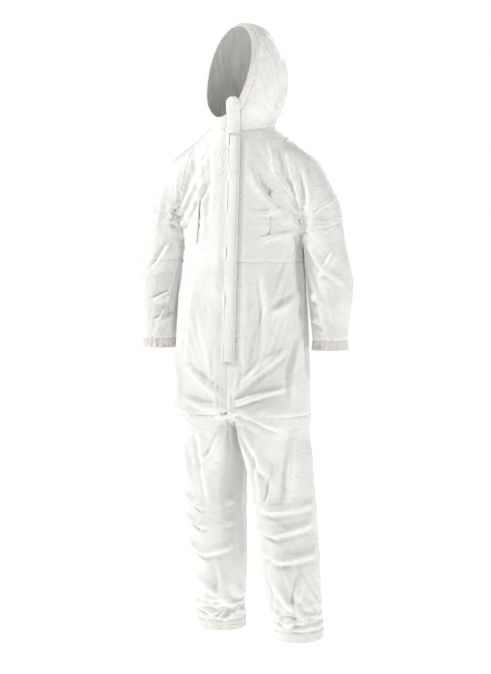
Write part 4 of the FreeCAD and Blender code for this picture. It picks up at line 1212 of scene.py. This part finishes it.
for name, piece in pieces.items():
    stands_for = [] if name.endswith("underarm") else [name]
    if name == "lower_front_left":
        stands_for.append("crotch_gusset")
    if name == "hood_face_hem":
        stands_for.append("hood_face_elastic")
    if stands_for:
        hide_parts(*stands_for)
    if "elastic" in name:
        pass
    elif name == "neck_seam_tape":
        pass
    else:
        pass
    hand = "left" if name.startswith("left") else "right"
    side = 1 if hand == "left" else -1
    knee, hem = LEG_PATHS[side]
    if name.endswith("upper_sleeve"):
        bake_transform(piece)
    elif name.endswith("lower_sleeve"):
        x = side * 0.266
        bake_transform(piece)
    elif name.endswith("upper_leg"):
        x = side * 0.101
        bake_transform(piece)
    elif name.endswith("lower_leg"):
        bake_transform(piece)
    elif "cuff" in name or "wrist" in name:
        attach(piece, f"{hand}_forearm")
    elif "leg_hem" in name or "ankle" in name:
        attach(piece, f"{hand}_shin")
    elif name.startswith("hood") or name == "storm_flap_top":
        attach(piece, "hood")
    elif name == "storm_flap":
        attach(piece, "storm_flap")
    else:
        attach(piece, "torso")

# %% [markdown]
# A pale floor under the suit, a bright even room, and one large soft lamp high at the front left give
# the soft shadows of a product studio. The camera stands a little to the wearer's left.

# %% Floor, light and camera
bpy.ops.object.select_all(action="DESELECT")
bpy.ops.mesh.primitive_plane_add(size=160, location=(0, 0, -1.57))
floor = bpy.context.active_object
floor.name = "studio_floor"
bpy.ops.object.transform_apply(location=True, rotation=False, scale=False)
floor_paint, floor_tree, floor_shader, floor_place = material("matt_white_floor")
floor_shader.inputs["Base Color"].default_value = linear("fbfbfb")
floor_shader.inputs["Roughness"].default_value = 0.9
floor_shader.inputs["Emission Color"].default_value = (1, 1, 1, 1)
floor_shader.inputs["Emission Strength"].default_value = 0.78
dress(floor, floor_paint)

VIEW_TURN = math.radians(18)
CAMERA_AWAY = 4.3
target = Vector((0.007 * math.cos(VIEW_TURN), 0.007 * math.sin(VIEW_TURN), -0.607))
camera = bpy.data.objects.new("camera", bpy.data.cameras.new("camera"))
bpy.context.scene.collection.objects.link(camera)
camera.location = (
    target.x + math.sin(VIEW_TURN) * CAMERA_AWAY, target.y - math.cos(VIEW_TURN) * CAMERA_AWAY, -0.38
)
camera.rotation_euler = (target - camera.location).to_track_quat("-Z", "Y").to_euler()
camera.data.lens = 78.4
bpy.context.scene.camera = camera


def lamp(name, place, size, energy):
    light = bpy.data.lights.new(name, "AREA")
    light.size = size
    light.energy = energy
    obj = bpy.data.objects.new(name, light)
    bpy.context.scene.collection.objects.link(obj)
    obj.location = place
    obj.rotation_euler = (Vector((0, 0, -0.5)) - obj.location).to_track_quat("-Z", "Y").to_euler()


lamp("key", (-2.7, -1.3, 2.0), 0.45, 105)
lamp("side", (3.0, -1.0, 1.6), 0.5, 42)
lamp("back", (0.6, 3.2, 1.6), 0.9, 50)
world = bpy.data.worlds.new("bright_room")
world.use_nodes = True
bpy.context.scene.world = world
sky = world.node_tree.nodes["Background"]
sky.inputs["Color"].default_value = (1, 1, 1, 1)
ray = add(world.node_tree, "LightPath")
seen = add(
    world.node_tree, "MapRange", inputs={"To Min": 0.25, "To Max": 1.0}, links=[(ray.outputs["Is Camera Ray"], "Value")]
)
world.node_tree.links.new(seen.outputs["Result"], sky.inputs["Strength"])
bpy.context.scene.view_settings.view_transform = "Standard"
